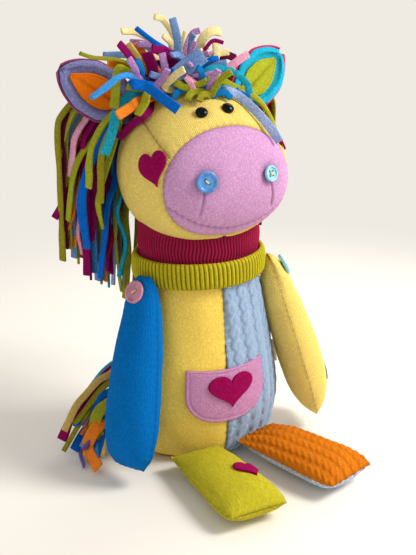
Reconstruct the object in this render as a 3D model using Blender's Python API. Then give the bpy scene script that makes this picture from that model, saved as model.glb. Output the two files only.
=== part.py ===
"""Patchwork plush horse: sewn wool panels over stuffing, with a felt mane and button-jointed arms.

The horse sits facing -Y with its own left at +X. The origin lies under the torso, on the face it sits on.
"""
import math

import bmesh
import bpy
import numpy as np
from mathutils import Matrix, Vector

MM = 0.001
UP = np.array((0.0, 0.0, 1.0))

# Cloth and clearances
FELT = 2.0 * MM
APPLIQUE = 1.8 * MM
SEAM = 0.4 * MM
CLEARANCE = 0.4 * MM
STUFFING_GAP = 1.3 * MM
STUFFING_DEPTH = FELT + STUFFING_GAP
PARAMETER_STEP = 0.004
POLE_SHARE = 0.012

# Torso
TORSO_HEIGHT = 171.0 * MM
TORSO_HALF_WIDTH = 75.0 * MM
TORSO_HALF_DEPTH = 56.0 * MM
TORSO_WIDTH_SHARES = ((0.0, 0.72), (0.035, 0.86), (0.12, 0.955), (0.27, 1.0), (0.47, 0.95),
                      (0.70, 0.845), (0.88, 0.755), (1.0, 0.68))
TORSO_DEPTH_SHARES = ((0.0, 0.74), (0.035, 0.88), (0.12, 0.965), (0.27, 1.0), (0.47, 0.965),
                      (0.70, 0.89), (0.88, 0.84), (1.0, 0.79))

TORSO_FOOT_SHARES = (0.0, 0.018, 0.05)
TORSO_BODY_SHARE = 0.10
TORSO_FILLING_FOOT_SHARE = 0.95
TORSO_FILLING_SHARES = (0.03, 0.08, 0.15, 0.27, 0.42, 0.58, 0.75, 0.9, 1.0)

# Neck
NECK_LENGTH = 25.0 * MM
CUFF_LAP = 5.0 * MM
CUFF_BOTTOM = TORSO_HEIGHT - CUFF_LAP
CUFF_RISE_SHARE = 0.68
CUFF_TOP = TORSO_HEIGHT + CUFF_RISE_SHARE * NECK_LENGTH
CUFF_WALL = 3.6 * MM
COLLAR_WALL = 4.6 * MM
CUFF_INSET = 0.6 * MM
CUFF_EDGE = 1.6 * MM
COLLAR_HEAD_GAP = 0.8 * MM
NECK_TURN_SHARE = 0.28
NECK_NOD_SHARE = 1.36
NECK_TURN_HEIGHT = TORSO_HEIGHT + NECK_TURN_SHARE * NECK_LENGTH
NECK_NOD_HEIGHT = TORSO_HEIGHT + NECK_NOD_SHARE * NECK_LENGTH
HEAD_REST_GAP = 1.5 * MM
NECK_FILLING_FOOT_SHARE = 0.94
NECK_FILLING_TOP_SHARES = (1.0, 0.75, 0.5, 0.25, 0.0)

# Head
HEAD_HALF_WIDTH = 70.0 * MM
HEAD_HALF_HEIGHT = 67.0 * MM
MUZZLE_REACH = 79.0 * MM
NAPE_REACH = 66.0 * MM
HEAD_BACK_SHIFT = 5.0 * MM
HEAD_HEIGHT = TORSO_HEIGHT + NECK_LENGTH + HEAD_HALF_HEIGHT
MUZZLE_DROP = 5.0 * MM
MUZZLE_FULLNESS = 3.0
MUZZLE_SEAM = math.radians(45.0)
GUSSET_FRONT = math.radians(60.0)
GUSSET_BACK = math.radians(24.0)
MOUTH_HALF_WIDTH = 52.0 * MM
MOUTH_HEIGHT = -41.0 * MM
MOUTH_RISE = 19.0 * MM
MOUTH_FIRST_SWEEP = math.radians(8.0)
MOUTH_SEARCH_STEPS = 120
MUZZLE_RING_SHARES = (0.0, 0.27, 0.52, 0.77, 1.0)
CHIN_TURN = math.radians(124.0)
CHIN_RING_SHARES = (0.0, 0.5, 1.0)
NAPE_OPENING = math.radians(2.9)
HEAD_FILLING_OPENING = math.radians(11.5)
CHEEK_HEART_WIDTH = 27.0 * MM
CHEEK_HEART_HEIGHT = 28.0 * MM
CHEEK_TURN = math.radians(70.0)
CHEEK_SWEEP = math.radians(61.0)

# Eyes
EYE_RADIUS = 5.2 * MM
EYE_DOME = 4.6 * MM
EYE_DOME_SHARES = ((0.93, 0.0), (1.0, 0.28), (0.82, 0.68), (0.46, 0.93), (0.0, 1.0))
EYE_STEM_SHARES = ((0.0, 1.0), (0.8, 1.0), (1.0, 0.9), (1.0, 0.0))
EYE_STEM_RADIUS = 1.5 * MM
EYE_STEM_LENGTH = 9.0 * MM
EYE_TURN = math.radians(11.0)
EYE_SWEEP = math.radians(59.0)
WASHER_RADIUS = 5.5 * MM
WASHER_THICKNESS = 1.4 * MM
WASHER_GAP = 2.0 * MM

# Buttons
NEAR_NOSTRIL_RADIUS = 9.0 * MM
FAR_NOSTRIL_RADIUS = 6.8 * MM
NOSTRIL_THICKNESS = 2.8 * MM
NOSTRIL_TURN = math.radians(61.0)
NOSTRIL_SWEEP = math.radians(16.5)
SHOULDER_BUTTON_RADIUS = 10.0 * MM
SHOULDER_BUTTON_THICKNESS = 3.4 * MM
SHOULDER_BUTTON_TILT = math.radians(12.0)
SHOULDER_BUTTON_STANDOFF = 2.4 * MM
BUTTON_RIM_SHARE = 0.14
BUTTON_DISH_SHARE = 0.62
BUTTON_PROFILE_SHARES = ((1.0, 0.0), (0.0, 0.3), (0.0, 0.75), (0.5, 1.0), (1.2, 1.0), (2.4, BUTTON_DISH_SHARE))
BUTTON_SINK_SHARE = 0.4
BUTTON_HOLE_RADIUS = 1.1 * MM
BUTTON_HOLE_SPREAD = 2.3 * MM
THREAD_RADIUS = 0.7 * MM
STITCH_BEND_SHARE = 0.6
STITCH_FOOT_SHARE = 0.3
ANCHOR_RADIUS = 6.0 * MM
ANCHOR_THICKNESS = 2.0 * MM
ANCHOR_DEPTH = 12.0 * MM

# Ears
EAR_LENGTH = 74.0 * MM
EAR_WIDTH = 47.0 * MM
EAR_CUP = 9.0 * MM
EAR_BASE_WIDTH = 26.0 * MM
EAR_LAYER = 2.2 * MM
EAR_INNER_SHARE = 0.62
EAR_FACING = (-0.10, -1.0, 0.12)
EAR_WIDTH_SHARES = ((0.0, EAR_BASE_WIDTH / EAR_WIDTH), (0.18, 0.72), (0.42, 1.0), (0.62, 0.98), (0.8, 0.76),
                    (0.93, 0.42), (1.0, 0.10))
EAR_FLATTEN_SHARE = 0.55
EAR_LENGTH_SHARES = (0.0, 0.164, 0.328, 0.492, 0.656, 0.82, 0.93, 1.0)
EAR_FRONT_SHARES = (0.96, 0.975)
EAR_LEAF_SHARES = (0.10, 0.86)
EAR_LEAF_SPAN_SHARES = (0.045, 0.975)
EAR_LEAF_ROUNDING = 0.75
EAR_ROOT_RISE = 46.0 * MM
EAR_TIP_RISE = 89.0 * MM
EAR_ROOT = (49.5 * MM, 24.0 * MM, HEAD_HEIGHT + EAR_ROOT_RISE)
EAR_TIP = (113.0 * MM, 41.0 * MM, HEAD_HEIGHT + EAR_TIP_RISE)

# Arms
SHOULDER_AZIMUTH = math.radians(72.0)
SHOULDER_DROP = 8.0 * MM
SHOULDER_HEIGHT = TORSO_HEIGHT - SHOULDER_DROP
SHOULDER_OUT = 68.0 * MM
ARM_LENGTH = 168.0 * MM
ARM_PIVOT = 13.0 * MM
ARM_HALF_WIDTH = 27.0 * MM
ARM_HALF_OUTER = 23.0 * MM
ARM_HALF_INNER = 17.5 * MM
ARM_WIDTH_SHARES = ((0.0, 0.30), (0.06, 0.48), (0.18, 0.68), (0.35, 0.83), (0.58, 0.95), (0.78, 1.0),
                    (0.92, 0.93), (1.0, 0.66))
ARM_THICK_SHARES = ((0.0, 0.34), (0.06, 0.44), (0.18, 0.62), (0.35, 0.82), (0.58, 0.97), (0.74, 1.0),
                    (0.90, 0.90), (1.0, 0.70))
RIGHT_ARM_TILT = math.radians(14.0)
RIGHT_ARM_SWING = math.radians(6.0)
LEFT_ARM_TILT = math.radians(17.0)
LEFT_ARM_SWING = math.radians(-3.0)
ARM_PATCH_WIDTH = 20.0 * MM
ARM_PATCH_HEIGHT = 19.0 * MM
ARM_PATCH_TURN = math.radians(78.0)
ARM_PATCH_SWEEP = math.radians(128.0)
ARM_PATCH_SPIN = 0.0

# Legs
HIP_FORWARD = 52.5 * MM
LEG_HALF_THICK = 14.8 * MM
LEG_FLOOR_GAP = 0.4 * MM
HIP_HEIGHT = LEG_HALF_THICK + LEG_FLOOR_GAP
HIP_SIDE = 33.0 * MM
LEG_LENGTH = 113.0 * MM
LEG_HALF_WIDTH = 29.0 * MM
LEG_WIDTH_SHARES = ((0.0, 0.86), (0.2, 0.88), (0.5, 0.93), (0.8, 1.0), (0.93, 0.99), (1.0, 0.90))
LEG_THICK_SHARES = ((0.0, 0.22), (0.07, 0.42), (0.18, 0.72), (0.32, 0.94), (0.5, 1.0), (0.85, 1.0), (1.0, 0.86))
RIGHT_LEG_SPLAY = 0.0
LEFT_LEG_SPLAY = math.radians(17.0)
LEG_HEART_WIDTH = 24.0 * MM
LEG_HEART_HEIGHT = 23.0 * MM
LEG_HEART_TURN = math.radians(57.0)
LEG_HEART_SWEEP = math.radians(105.0)
LEG_HEART_SPIN = math.pi

# Pocket and its heart
HEART_SHARES = (13.0 / 29.0, -5.0 / 29.0, -2.0 / 29.0, -1.0 / 29.0)
HEART_MIDDLE_SHARE = 2.5 / 29.0
POCKET_HALF_WIDTH = 41.0 * MM
POCKET_UPPER_SHARE = 0.45
POCKET_ROUNDING = 0.8
POCKET_TOP_SHARE = 0.5556
POCKET_BOTTOM_SHARE = 0.2515
POCKET_TOP = POCKET_TOP_SHARE * TORSO_HEIGHT
POCKET_BOTTOM = POCKET_BOTTOM_SHARE * TORSO_HEIGHT
POCKET_HEART_WIDTH = 45.0 * MM
POCKET_HEART_HEIGHT = 31.0 * MM
POCKET_HEART_SHARE = 0.5
POCKET_HEART_LEVEL = POCKET_BOTTOM + POCKET_HEART_SHARE * (POCKET_TOP - POCKET_BOTTOM)
POCKET_HEART_TURN = 0.03
LABEL_BOTTOM = 58.0 * MM
LABEL_TOP = 82.0 * MM
LABEL_REACH = 14.0 * MM
LABEL_HEADING = (1.0, 0.25, -0.1)
LABEL_THICKNESS = 1.0 * MM

# Mane and tail
STRIP_WIDTH = 7.6 * MM
STRIP_THICKNESS = 2.4 * MM
BAND_WIDTH = 6.0 * MM
BAND_THICKNESS = 3.0 * MM
MANE_CLEARANCE = 0.5 * MM
LOCK_HEAD_GAP = 3.6 * MM
MANE_BAND_SHIFT = 13.0 * MM
MANE_CREST_SWEEPS = (math.radians(86.0), math.radians(165.0))
MANE_SEGMENTS = 12
LOCK_ARCH_SHARES = (0.16, 0.36, 0.58, 0.8, 0.96)
LOCK_FALL_SHARES = (0.3, 0.65, 1.0)
TUFT_SHARES = (0.25, 0.5, 0.78, 1.0)
TUFT_BEND_POWER = 1.6
STAGGER_TURN = math.radians(137.5)

FRONT_LOCKS = 2
FRONT_LOCK_REACH = 62.0 * MM
FRONT_LOCK_SPREAD = 9.0 * MM
FRONT_LOCK_DROP = 62.0 * MM
FRONT_LOCK_FALL = 30.0 * MM
FRONT_LOCK_STAGGER = 12.0 * MM
FRONT_LOCK_RISE = 2.0 * MM
FRONT_LOCK_SWAY = 3.0 * MM
FRONT_LOCK_TURN = math.radians(2.5)

BACK_LOCKS = 7
UPPER_ROW_REACHES = (109.0 * MM, 55.0 * MM)
UPPER_ROW_LEVELS = (54.0 * MM, 78.0 * MM)
UPPER_ROW_DROPS = (30.0 * MM, 44.0 * MM)
UPPER_ROW_RISE = 13.0 * MM
LOWER_ROW_REACHES = (90.0 * MM, 40.0 * MM)
LOWER_ROW_LEVELS = (44.0 * MM, 68.0 * MM)
LOWER_ROW_DROPS = (42.0 * MM, 40.0 * MM)
LOWER_ROW_RISE = 4.0 * MM
RIGHT_LOCK_FALLS = (79.0 * MM, 115.0 * MM)
LEFT_LOCK_FALLS = (62.0 * MM, 93.0 * MM)
LOCK_STAGGER = 9.0 * MM
LOCK_SWAY = 2.0 * MM
SIDE_TUFT_HEIGHT = 20.0 * MM
SIDE_TUFT_REACH = 26.0 * MM
SIDE_TUFT_STAGGER = 4.0 * MM
SIDE_TUFT_TURNS = (math.radians(7.0), math.radians(-6.0))

CROWN_SWEEPS = (math.radians(85.0), math.radians(126.0))
CROWN_HEIGHT = 60.0 * MM
CROWN_REACH = 94.0 * MM
CROWN_UP_SHARES = ((0.69, 0.50, 0.17), (0.91, 0.42, 0.14), (0.90, 0.68, 0.06), (0.54, 0.98, 0.30),
                   (0.93, 0.78, 0.22), (0.55, 0.90, 0.60), (0.87, 0.75, 0.06), (0.50, 0.78, 0.24))
CROWN_RIGHT_SHARES = ((0.63, 0.34, 0.28), (0.58, 0.46, 0.34), (0.55, 0.44, 0.50), (0.53, 0.62, 0.50),
                      (0.52, 0.54, 0.60), (0.51, 0.70, 0.44), (0.53, 0.62, 0.74), (0.55, 0.60, 0.48))
CROWN_LEFT_SHARES = ((0.94, 0.30, 0.26), (0.97, 0.42, 0.34), (0.98, 0.40, 0.30), (0.00, 0.50, 0.26),
                     (0.02, 0.42, 0.28), (0.03, 0.50, 0.20), (0.05, 0.42, 0.26), (0.07, 0.46, 0.18))
FORELOCK_SWEEPS = (math.radians(65.0), math.radians(78.0))
FORELOCK_SEGMENTS = 3
FORELOCK_REACHES = (44.0 * MM, 74.0 * MM)
FORELOCK_DROP = 12.0 * MM
FORELOCK_RISE = 5.0 * MM
FORELOCK_TUFT_HEIGHT = 13.0 * MM
FORELOCK_TUFT_REACH = 16.0 * MM
FORELOCK_TUFT_TURNS = (math.radians(-30.0), math.radians(-150.0))
FORELOCK_TURNS = (math.radians(24.0), math.radians(4.0))

TAIL_BOTTOM = 18.0 * MM
TAIL_TOP = 68.0 * MM
TAIL_STRIPS = 5
TAIL_REACH = 112.0 * MM
TAIL_STAGGER = 7.0 * MM
TAIL_BOW = 29.0 * MM
TAIL_CURLS = (92.0 * MM, 56.0 * MM)
TAIL_ROW_GAP = 1.6 * MM
TAIL_RISE = 8.0 * MM
TAIL_END_HEIGHTS = (5.0 * MM, 36.0 * MM)
TAIL_PATH_SHARES = (0.1, 0.26, 0.44, 0.62, 0.8, 1.0)

# Facets
TORSO_TURNS = 8
TORSO_RISES = 9
NECK_TURNS = 28
HEAD_TURNS = 8
HEAD_SWEEPS = 9
MUZZLE_TURNS = 28
LIMB_TURNS = 7
STUFFING_TURNS = 20
OUTLINE_POINTS = 24
BORE_SIDES = 8
BUTTON_SIDES = 18
EYE_SIDES = 14
EAR_COLUMNS = 7
WASHER_SIDES = 12
LIMB_SWEEPS = (0.03, 0.22, 0.45, 0.8, 1.2, 1.65, 2.1, 2.5, 2.78, 2.98, 3.11)
LIMB_STUFFING_SWEEPS = (0.62, 0.85, 1.2, 1.65, 2.1, 2.5, 2.7)


def follow(rows, share):
    """Reads a table of (share, value) rows with a smooth curve that never overshoots its rows."""
    known = np.array([row[0] for row in rows])
    value = np.array([row[1] for row in rows])
    gap = np.diff(known)
    rate = np.diff(value) / gap
    slope = np.concatenate(([rate[0]], np.zeros(len(rate) - 1), [rate[-1]]))
    for k in range(1, len(rate)):
        if rate[k - 1] * rate[k] > 0.0:
            first = 2.0 * gap[k] + gap[k - 1]
            second = gap[k] + 2.0 * gap[k - 1]
            slope[k] = (first + second) / (first / rate[k - 1] + second / rate[k])
    share = np.clip(share, known[0], known[-1])
    k = np.clip(np.searchsorted(known, share, side="right") - 1, 0, len(gap) - 1)
    t = (share - known[k]) / gap[k]
    start = (2.0 * t**3 - 3.0 * t**2 + 1.0) * value[k] + (t**3 - 2.0 * t**2 + t) * gap[k] * slope[k]
    end = (3.0 * t**2 - 2.0 * t**3) * value[k + 1] + (t**3 - t**2) * gap[k] * slope[k + 1]
    return start + end


def unit(vector):
    """A vector, or each of an array of them, brought to length one."""
    vector = np.asarray(vector, dtype=float)
    return vector / np.maximum(np.linalg.norm(vector, axis=-1, keepdims=True), 1e-12)


def join(*parts):
    """Coordinates given as three arrays, brought to one array of points."""
    return np.stack(np.broadcast_arrays(*parts), axis=-1)


def lift(surface, turn, step, height):
    """Points of a surface moved out along its normal by a height, or in where that is negative."""
    across = surface(turn + PARAMETER_STEP, step) - surface(turn - PARAMETER_STEP, step)
    along = surface(turn, step + PARAMETER_STEP) - surface(turn, step - PARAMETER_STEP)
    normal = unit(np.cross(across, along))
    return surface(turn, step) + normal * np.asarray(height)[..., None]


def torso_surface(turn, rise):
    """Torso skin by turn from the front towards the left, and by share of the height."""
    wide = TORSO_HALF_WIDTH * follow(TORSO_WIDTH_SHARES, rise)
    deep = TORSO_HALF_DEPTH * follow(TORSO_DEPTH_SHARES, rise)
    return join(wide * np.sin(turn), -deep * np.cos(turn), TORSO_HEIGHT * rise)


def head_surface(turn, sweep):
    """Head skin by turn round the muzzle's axis, up being zero, and by sweep from the muzzle to the nape."""
    ahead = np.cos(sweep)
    front = ahead > 0.0
    reach = np.where(front, MUZZLE_REACH, NAPE_REACH)
    depth = np.abs(ahead)
    round_share = np.sqrt(np.maximum(1.0 - depth**2, 0.0))
    full_share = np.maximum(1.0 - depth**MUZZLE_FULLNESS, 0.0) ** (1.0 / MUZZLE_FULLNESS)
    wide = HEAD_HALF_WIDTH * np.where(front, full_share, round_share)
    middle = HEAD_HEIGHT - np.where(front, MUZZLE_DROP * depth**2, 0.0)
    return join(wide * np.sin(turn), HEAD_BACK_SHIFT - reach * ahead,
                middle + HEAD_HALF_HEIGHT * round_share * np.cos(turn))


def head_underside(x, y):
    """Height of the head's lower skin over a point of the floor plan."""
    ahead = (HEAD_BACK_SHIFT - y) / np.where(y < HEAD_BACK_SHIFT, MUZZLE_REACH, NAPE_REACH)
    depth = np.clip(np.abs(ahead), 0.0, 0.98)
    front = ahead > 0.0
    round_share = np.sqrt(1.0 - depth**2)
    full_share = (1.0 - depth**MUZZLE_FULLNESS) ** (1.0 / MUZZLE_FULLNESS)
    wide = HEAD_HALF_WIDTH * np.where(front, full_share, round_share)
    middle = HEAD_HEIGHT - np.where(front, MUZZLE_DROP * depth**2, 0.0)
    return middle - HEAD_HALF_HEIGHT * round_share * np.sqrt(np.maximum(1.0 - (x / wide) ** 2, 0.0))


def limb_panel(name, sleeve, side, material):
    """One of a limb's two panels, on its over side or its under side, kept on its own side of the seam."""
    seam_turn = 0.5 * SEAM / sleeve.half_width
    first = 0.0 if side > 0 else -math.pi
    turn, step = np.meshgrid(np.linspace(first + seam_turn, first + math.pi - seam_turn, LIMB_TURNS), LIMB_SWEEPS)
    bm = bmesh.new()
    grids = []
    for depth in (0.0, -FELT):
        points = lift(sleeve, turn, step, np.full(turn.shape, depth))
        height = side * np.tensordot(points - sleeve.root, sleeve.over, axes=1)
        points = points + sleeve.over * (side * (np.maximum(height, 0.5 * SEAM) - height))[..., None]
        grids.append(add_grid(bm, points, False))
    outer, inner = grids
    bridge(bm, outer[0], inner[0], False)
    bridge(bm, outer[-1], inner[-1], False)
    bridge(bm, [row[0] for row in outer], [row[0] for row in inner], False)
    bridge(bm, [row[-1] for row in outer], [row[-1] for row in inner], False)
    return place(name, bm, material)


def limb_stuffing(name, sleeve):
    """The stuffing inside a limb's panels."""
    angle = np.linspace(0.0, 2.0 * math.pi, STUFFING_TURNS - 4, endpoint=False)
    rings = [lift(sleeve, angle, np.full(angle.shape, sweep), np.full(angle.shape, -STUFFING_DEPTH))
             for sweep in LIMB_STUFFING_SWEEPS]
    return loft(name, rings, STUFFING)


class Sleeve:
    """A stuffed limb sewn from two panels: its section is an oval that closes to a flat seam at each end."""

    def __init__(self, root, along, broad, length, half_width, half_over, half_under, widths, thicks):
        self.root = np.asarray(root)
        self.along = unit(along)
        self.broad = unit(np.asarray(broad) - self.along * np.dot(broad, self.along))
        self.over = np.cross(self.along, self.broad)
        self.length = length
        self.half_width = half_width
        self.half_over = half_over
        self.half_under = half_under
        self.widths = widths
        self.thicks = thicks

    def __call__(self, turn, sweep):
        """Skin by turn round the limb, 90 degrees being its over side, and by sweep from root to tip."""
        sweep = np.clip(sweep, 1e-4, math.pi - 1e-4)
        share = 0.5 - 0.5 * np.cos(sweep)
        wide = self.half_width * follow(self.widths, share)
        close = np.sqrt(1.0 - np.abs(np.cos(sweep)) ** 5)
        half = np.where(np.sin(turn) > 0.0, self.half_over, self.half_under)
        thick = half * follow(self.thicks, share) * close
        return (self.root + self.along * (self.length * share)[..., None]
                + self.broad * (wide * np.cos(turn))[..., None]
                + self.over * (thick * np.sin(turn))[..., None])


def finish(name, colour, roughness=0.95, metallic=0.0):
    """A plain material with one colour."""
    material = bpy.data.materials.new(name)
    material.use_nodes = True
    shader = material.node_tree.nodes["Principled BSDF"]
    shader.inputs["Base Color"].default_value = (*colour, 1.0)
    shader.inputs["Roughness"].default_value = roughness
    shader.inputs["Metallic"].default_value = metallic
    return material


def place(name, bm, material, smooth_angle=math.radians(40.0)):
    """Closes a mesh, points its faces out and puts it into the scene under its name."""
    bmesh.ops.remove_doubles(bm, verts=bm.verts, dist=1e-6)
    bmesh.ops.dissolve_degenerate(bm, edges=bm.edges, dist=1e-7)
    bmesh.ops.recalc_face_normals(bm, faces=bm.faces)
    mesh = bpy.data.meshes.new(name)
    bm.to_mesh(mesh)
    bm.free()
    mesh.materials.append(material)
    mesh.shade_smooth()
    mesh.set_sharp_from_angle(angle=smooth_angle)
    body = bpy.data.objects.new(name, mesh)
    bpy.context.scene.collection.objects.link(body)
    return body


def add_grid(bm, points, wrap):
    """Adds rows of points as quads, closed round each row where wrap is set, and returns the vertices."""
    rows = [[bm.verts.new(point) for point in row] for row in points]
    columns = len(rows[0])
    for i in range(len(rows) - 1):
        for j in range(columns if wrap else columns - 1):
            k = (j + 1) % columns
            bm.faces.new((rows[i][j], rows[i][k], rows[i + 1][k], rows[i + 1][j]))
    return rows


def bridge(bm, first, second, wrap):
    """Joins two rows of vertices with quads."""
    count = len(first)
    for j in range(count if wrap else count - 1):
        k = (j + 1) % count
        bm.faces.new((first[j], first[k], second[k], second[j]))


def panel(name, surface, turn, step, top, thickness, material, wrap=False):
    """A sheet of cloth on a surface: its outer face at height top, its wall going in, closed at its rim."""
    bm = bmesh.new()
    outer = add_grid(bm, lift(surface, turn, step, np.full(turn.shape, top)), wrap)
    inner = add_grid(bm, lift(surface, turn, step, np.full(turn.shape, top - thickness)), wrap)
    bridge(bm, outer[0], inner[0], wrap)
    bridge(bm, outer[-1], inner[-1], wrap)
    if not wrap:
        bridge(bm, [row[0] for row in outer], [row[0] for row in inner], False)
        bridge(bm, [row[-1] for row in outer], [row[-1] for row in inner], False)
    return place(name, bm, material)


def loft(name, rings, material, smooth_angle=math.radians(40.0)):
    """A solid through closed rings of points, with a flat cap at each end."""
    bm = bmesh.new()
    rows = add_grid(bm, rings, True)
    bm.faces.new(rows[0])
    bm.faces.new(rows[-1])
    return place(name, bm, material, smooth_angle)


def ring_wall(name, outer, inner, material):
    """A sleeve between an outer and an inner set of rings, joined at both rims."""
    bm = bmesh.new()
    outside = add_grid(bm, outer, True)
    inside = add_grid(bm, inner, True)
    bridge(bm, outside[0], inside[0], True)
    bridge(bm, outside[-1], inside[-1], True)
    return place(name, bm, material)


def applique(name, surface, turn, step, outline, size, spin, top, thickness, material, rings=2):
    """A cloth shape laid on a surface: its outline goes round a centre, with its up turned by spin."""
    here = surface(np.array(turn), np.array(step))
    along_turn = np.linalg.norm(surface(np.array(turn + PARAMETER_STEP), np.array(step)) - here) / PARAMETER_STEP
    along_step = np.linalg.norm(surface(np.array(turn), np.array(step + PARAMETER_STEP)) - here) / PARAMETER_STEP
    angle = np.linspace(0.0, 2.0 * math.pi, OUTLINE_POINTS, endpoint=False)
    flat = outline(angle) * np.asarray(size)
    right = flat[:, 0] * math.cos(spin) - flat[:, 1] * math.sin(spin)
    ahead = flat[:, 0] * math.sin(spin) + flat[:, 1] * math.cos(spin)
    share = np.linspace(0.0, 1.0, rings + 1)[:, None]
    turns = turn + share * right / along_turn
    steps = step + share * ahead / along_step
    bm = bmesh.new()
    upper = add_grid(bm, lift(surface, turns, steps, np.full(turns.shape, top)), True)
    lower = add_grid(bm, lift(surface, turns, steps, np.full(turns.shape, top - thickness)), True)
    bridge(bm, upper[-1], lower[-1], True)
    return place(name, bm, material)


def heart_outline(angle):
    """A heart of width and height one about its middle, from the well-known curve of sines and cosines."""
    across = np.sin(angle) ** 3
    rise = sum(share * np.cos((k + 1) * angle) for k, share in enumerate(HEART_SHARES))
    return np.stack((0.5 * across, rise + HEART_MIDDLE_SHARE), axis=-1)


def pocket_outline(angle):
    """A patch pocket of width and height one: a straight top with a deep round bottom."""
    across = np.sin(angle)
    rise = np.cos(angle)
    above = rise > 0.0
    squared = np.maximum(np.abs(across), np.abs(rise))
    wide = 0.5 * np.where(above, across / squared, np.sign(across) * np.abs(across) ** POCKET_ROUNDING)
    high = np.where(above, POCKET_UPPER_SHARE * rise / squared, (1.0 - POCKET_UPPER_SHARE) * rise)
    return np.stack((wide, high), axis=-1)


def frame_matrix(origin, axis, across=None):
    """A frame at a point with its Z along an axis and its X near a wanted direction."""
    z = unit(axis)
    wanted = np.asarray(across if across is not None else (UP if abs(z[2]) < 0.9 else (1.0, 0.0, 0.0)))
    x = unit(wanted - z * np.dot(wanted, z))
    y = np.cross(z, x)
    matrix = Matrix(((x[0], y[0], z[0]), (x[1], y[1], z[1]), (x[2], y[2], z[2])))
    return Matrix.Translation(Vector(origin)) @ matrix.to_4x4()


def turned(name, profile, matrix, material, sides=20):
    """A turned solid: a profile of (radius, height) pairs spun round the Z of a frame."""
    bm = bmesh.new()
    angle = np.linspace(0.0, 2.0 * math.pi, sides, endpoint=False)
    rings = [join(radius * np.cos(angle), radius * np.sin(angle), height) for radius, height in profile]
    add_grid(bm, rings, True)
    if profile[0][0] > 0.0 or profile[-1][0] > 0.0:
        bmesh.ops.holes_fill(bm, edges=[edge for edge in bm.edges if edge.is_boundary], sides=sides)
    bmesh.ops.transform(bm, matrix=matrix, verts=bm.verts)
    return place(name, bm, material)


def cutter(name, matrix, radius, bottom, top):
    """A hidden round cutter along the Z of a frame."""
    tool = turned(name, ((radius, bottom), (radius, top)), matrix, PLAIN, sides=BORE_SIDES)
    tool.hide_render = True
    tool.display_type = "WIRE"
    return tool


def cut(body, tool):
    """Takes a cutter's shape out of a body."""
    modifier = body.modifiers.new("bore " + tool.name, "BOOLEAN")
    modifier.operation = "DIFFERENCE"
    modifier.solver = "EXACT"
    modifier.object = tool


def thread(name, points, matrix, material):
    """One strand of sewing thread through points given in a frame."""
    curve = bpy.data.curves.new(name, "CURVE")
    curve.dimensions = "3D"
    curve.bevel_depth = THREAD_RADIUS
    curve.bevel_resolution = 1
    curve.use_fill_caps = True
    spline = curve.splines.new("POLY")
    spline.points.add(len(points) - 1)
    for knot, point in zip(spline.points, points):
        knot.co = (*(matrix @ Vector(point)), 1.0)
    curve.materials.append(material)
    strand = bpy.data.objects.new(name, curve)
    bpy.context.scene.collection.objects.link(strand)
    return strand


def ride(body, holder):
    """Hangs a body on an empty without moving it."""
    body.parent = holder
    body.matrix_parent_inverse = Matrix.Translation(-holder.location)


def pivot(name, point, bodies):
    """An empty on a joint's axis that carries a moving piece's bodies."""
    empty = bpy.data.objects.new(name, None)
    empty.empty_display_size = STRIP_WIDTH
    empty.location = Vector(point)
    bpy.context.scene.collection.objects.link(empty)
    for body in bodies:
        ride(body, empty)
    return empty


def side_word(side):
    """The name of a side of the horse: its own right lies at -X."""
    return "right" if side < 0 else "left"


def build_torso():
    """Four quarter panels, the oval base and the stuffing inside them."""
    base_gap = (FELT + SEAM) / TORSO_HEIGHT
    seam_turn = 0.5 * SEAM / TORSO_HALF_DEPTH
    rise = np.concatenate((TORSO_FOOT_SHARES, np.linspace(TORSO_BODY_SHARE, 1.0, TORSO_RISES - 2)))
    rise = base_gap + rise * (1.0 - base_gap)
    quarters = (("torso_front_right", -90.0, YELLOW), ("torso_front_left", 0.0, BLUE_CABLE),
                ("torso_back_left", 90.0, MAUVE), ("torso_back_right", 180.0, MAUVE))
    panels = []
    for name, start, material in quarters:
        first = math.radians(start) + seam_turn
        last = math.radians(start + 90.0) - seam_turn
        turn, step = np.meshgrid(np.linspace(first, last, TORSO_TURNS), rise)
        panels.append(panel(name, torso_surface, turn, step, 0.0, FELT, material))
    angle = np.linspace(0.0, 2.0 * math.pi, STUFFING_TURNS * 2, endpoint=False)
    rim = torso_surface(angle, np.full(angle.shape, base_gap))
    low = torso_surface(angle, np.zeros(angle.shape))
    rim[:, 2] = FELT
    base = loft("torso_base", [low, rim], MAUVE)
    angle = np.linspace(0.0, 2.0 * math.pi, STUFFING_TURNS + 4, endpoint=False)
    bottom = torso_surface(angle, np.zeros(angle.shape)) * TORSO_FILLING_FOOT_SHARE
    bottom[:, 2] = FELT + CLEARANCE
    rings = [lift(torso_surface, angle, np.full(angle.shape, share), np.full(angle.shape, -STUFFING_DEPTH))
             for share in TORSO_FILLING_SHARES]
    rings[-1][:, 2] = TORSO_HEIGHT
    stuffing = loft("torso_filling", [bottom, *rings], STUFFING)
    return panels, base, stuffing


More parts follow.
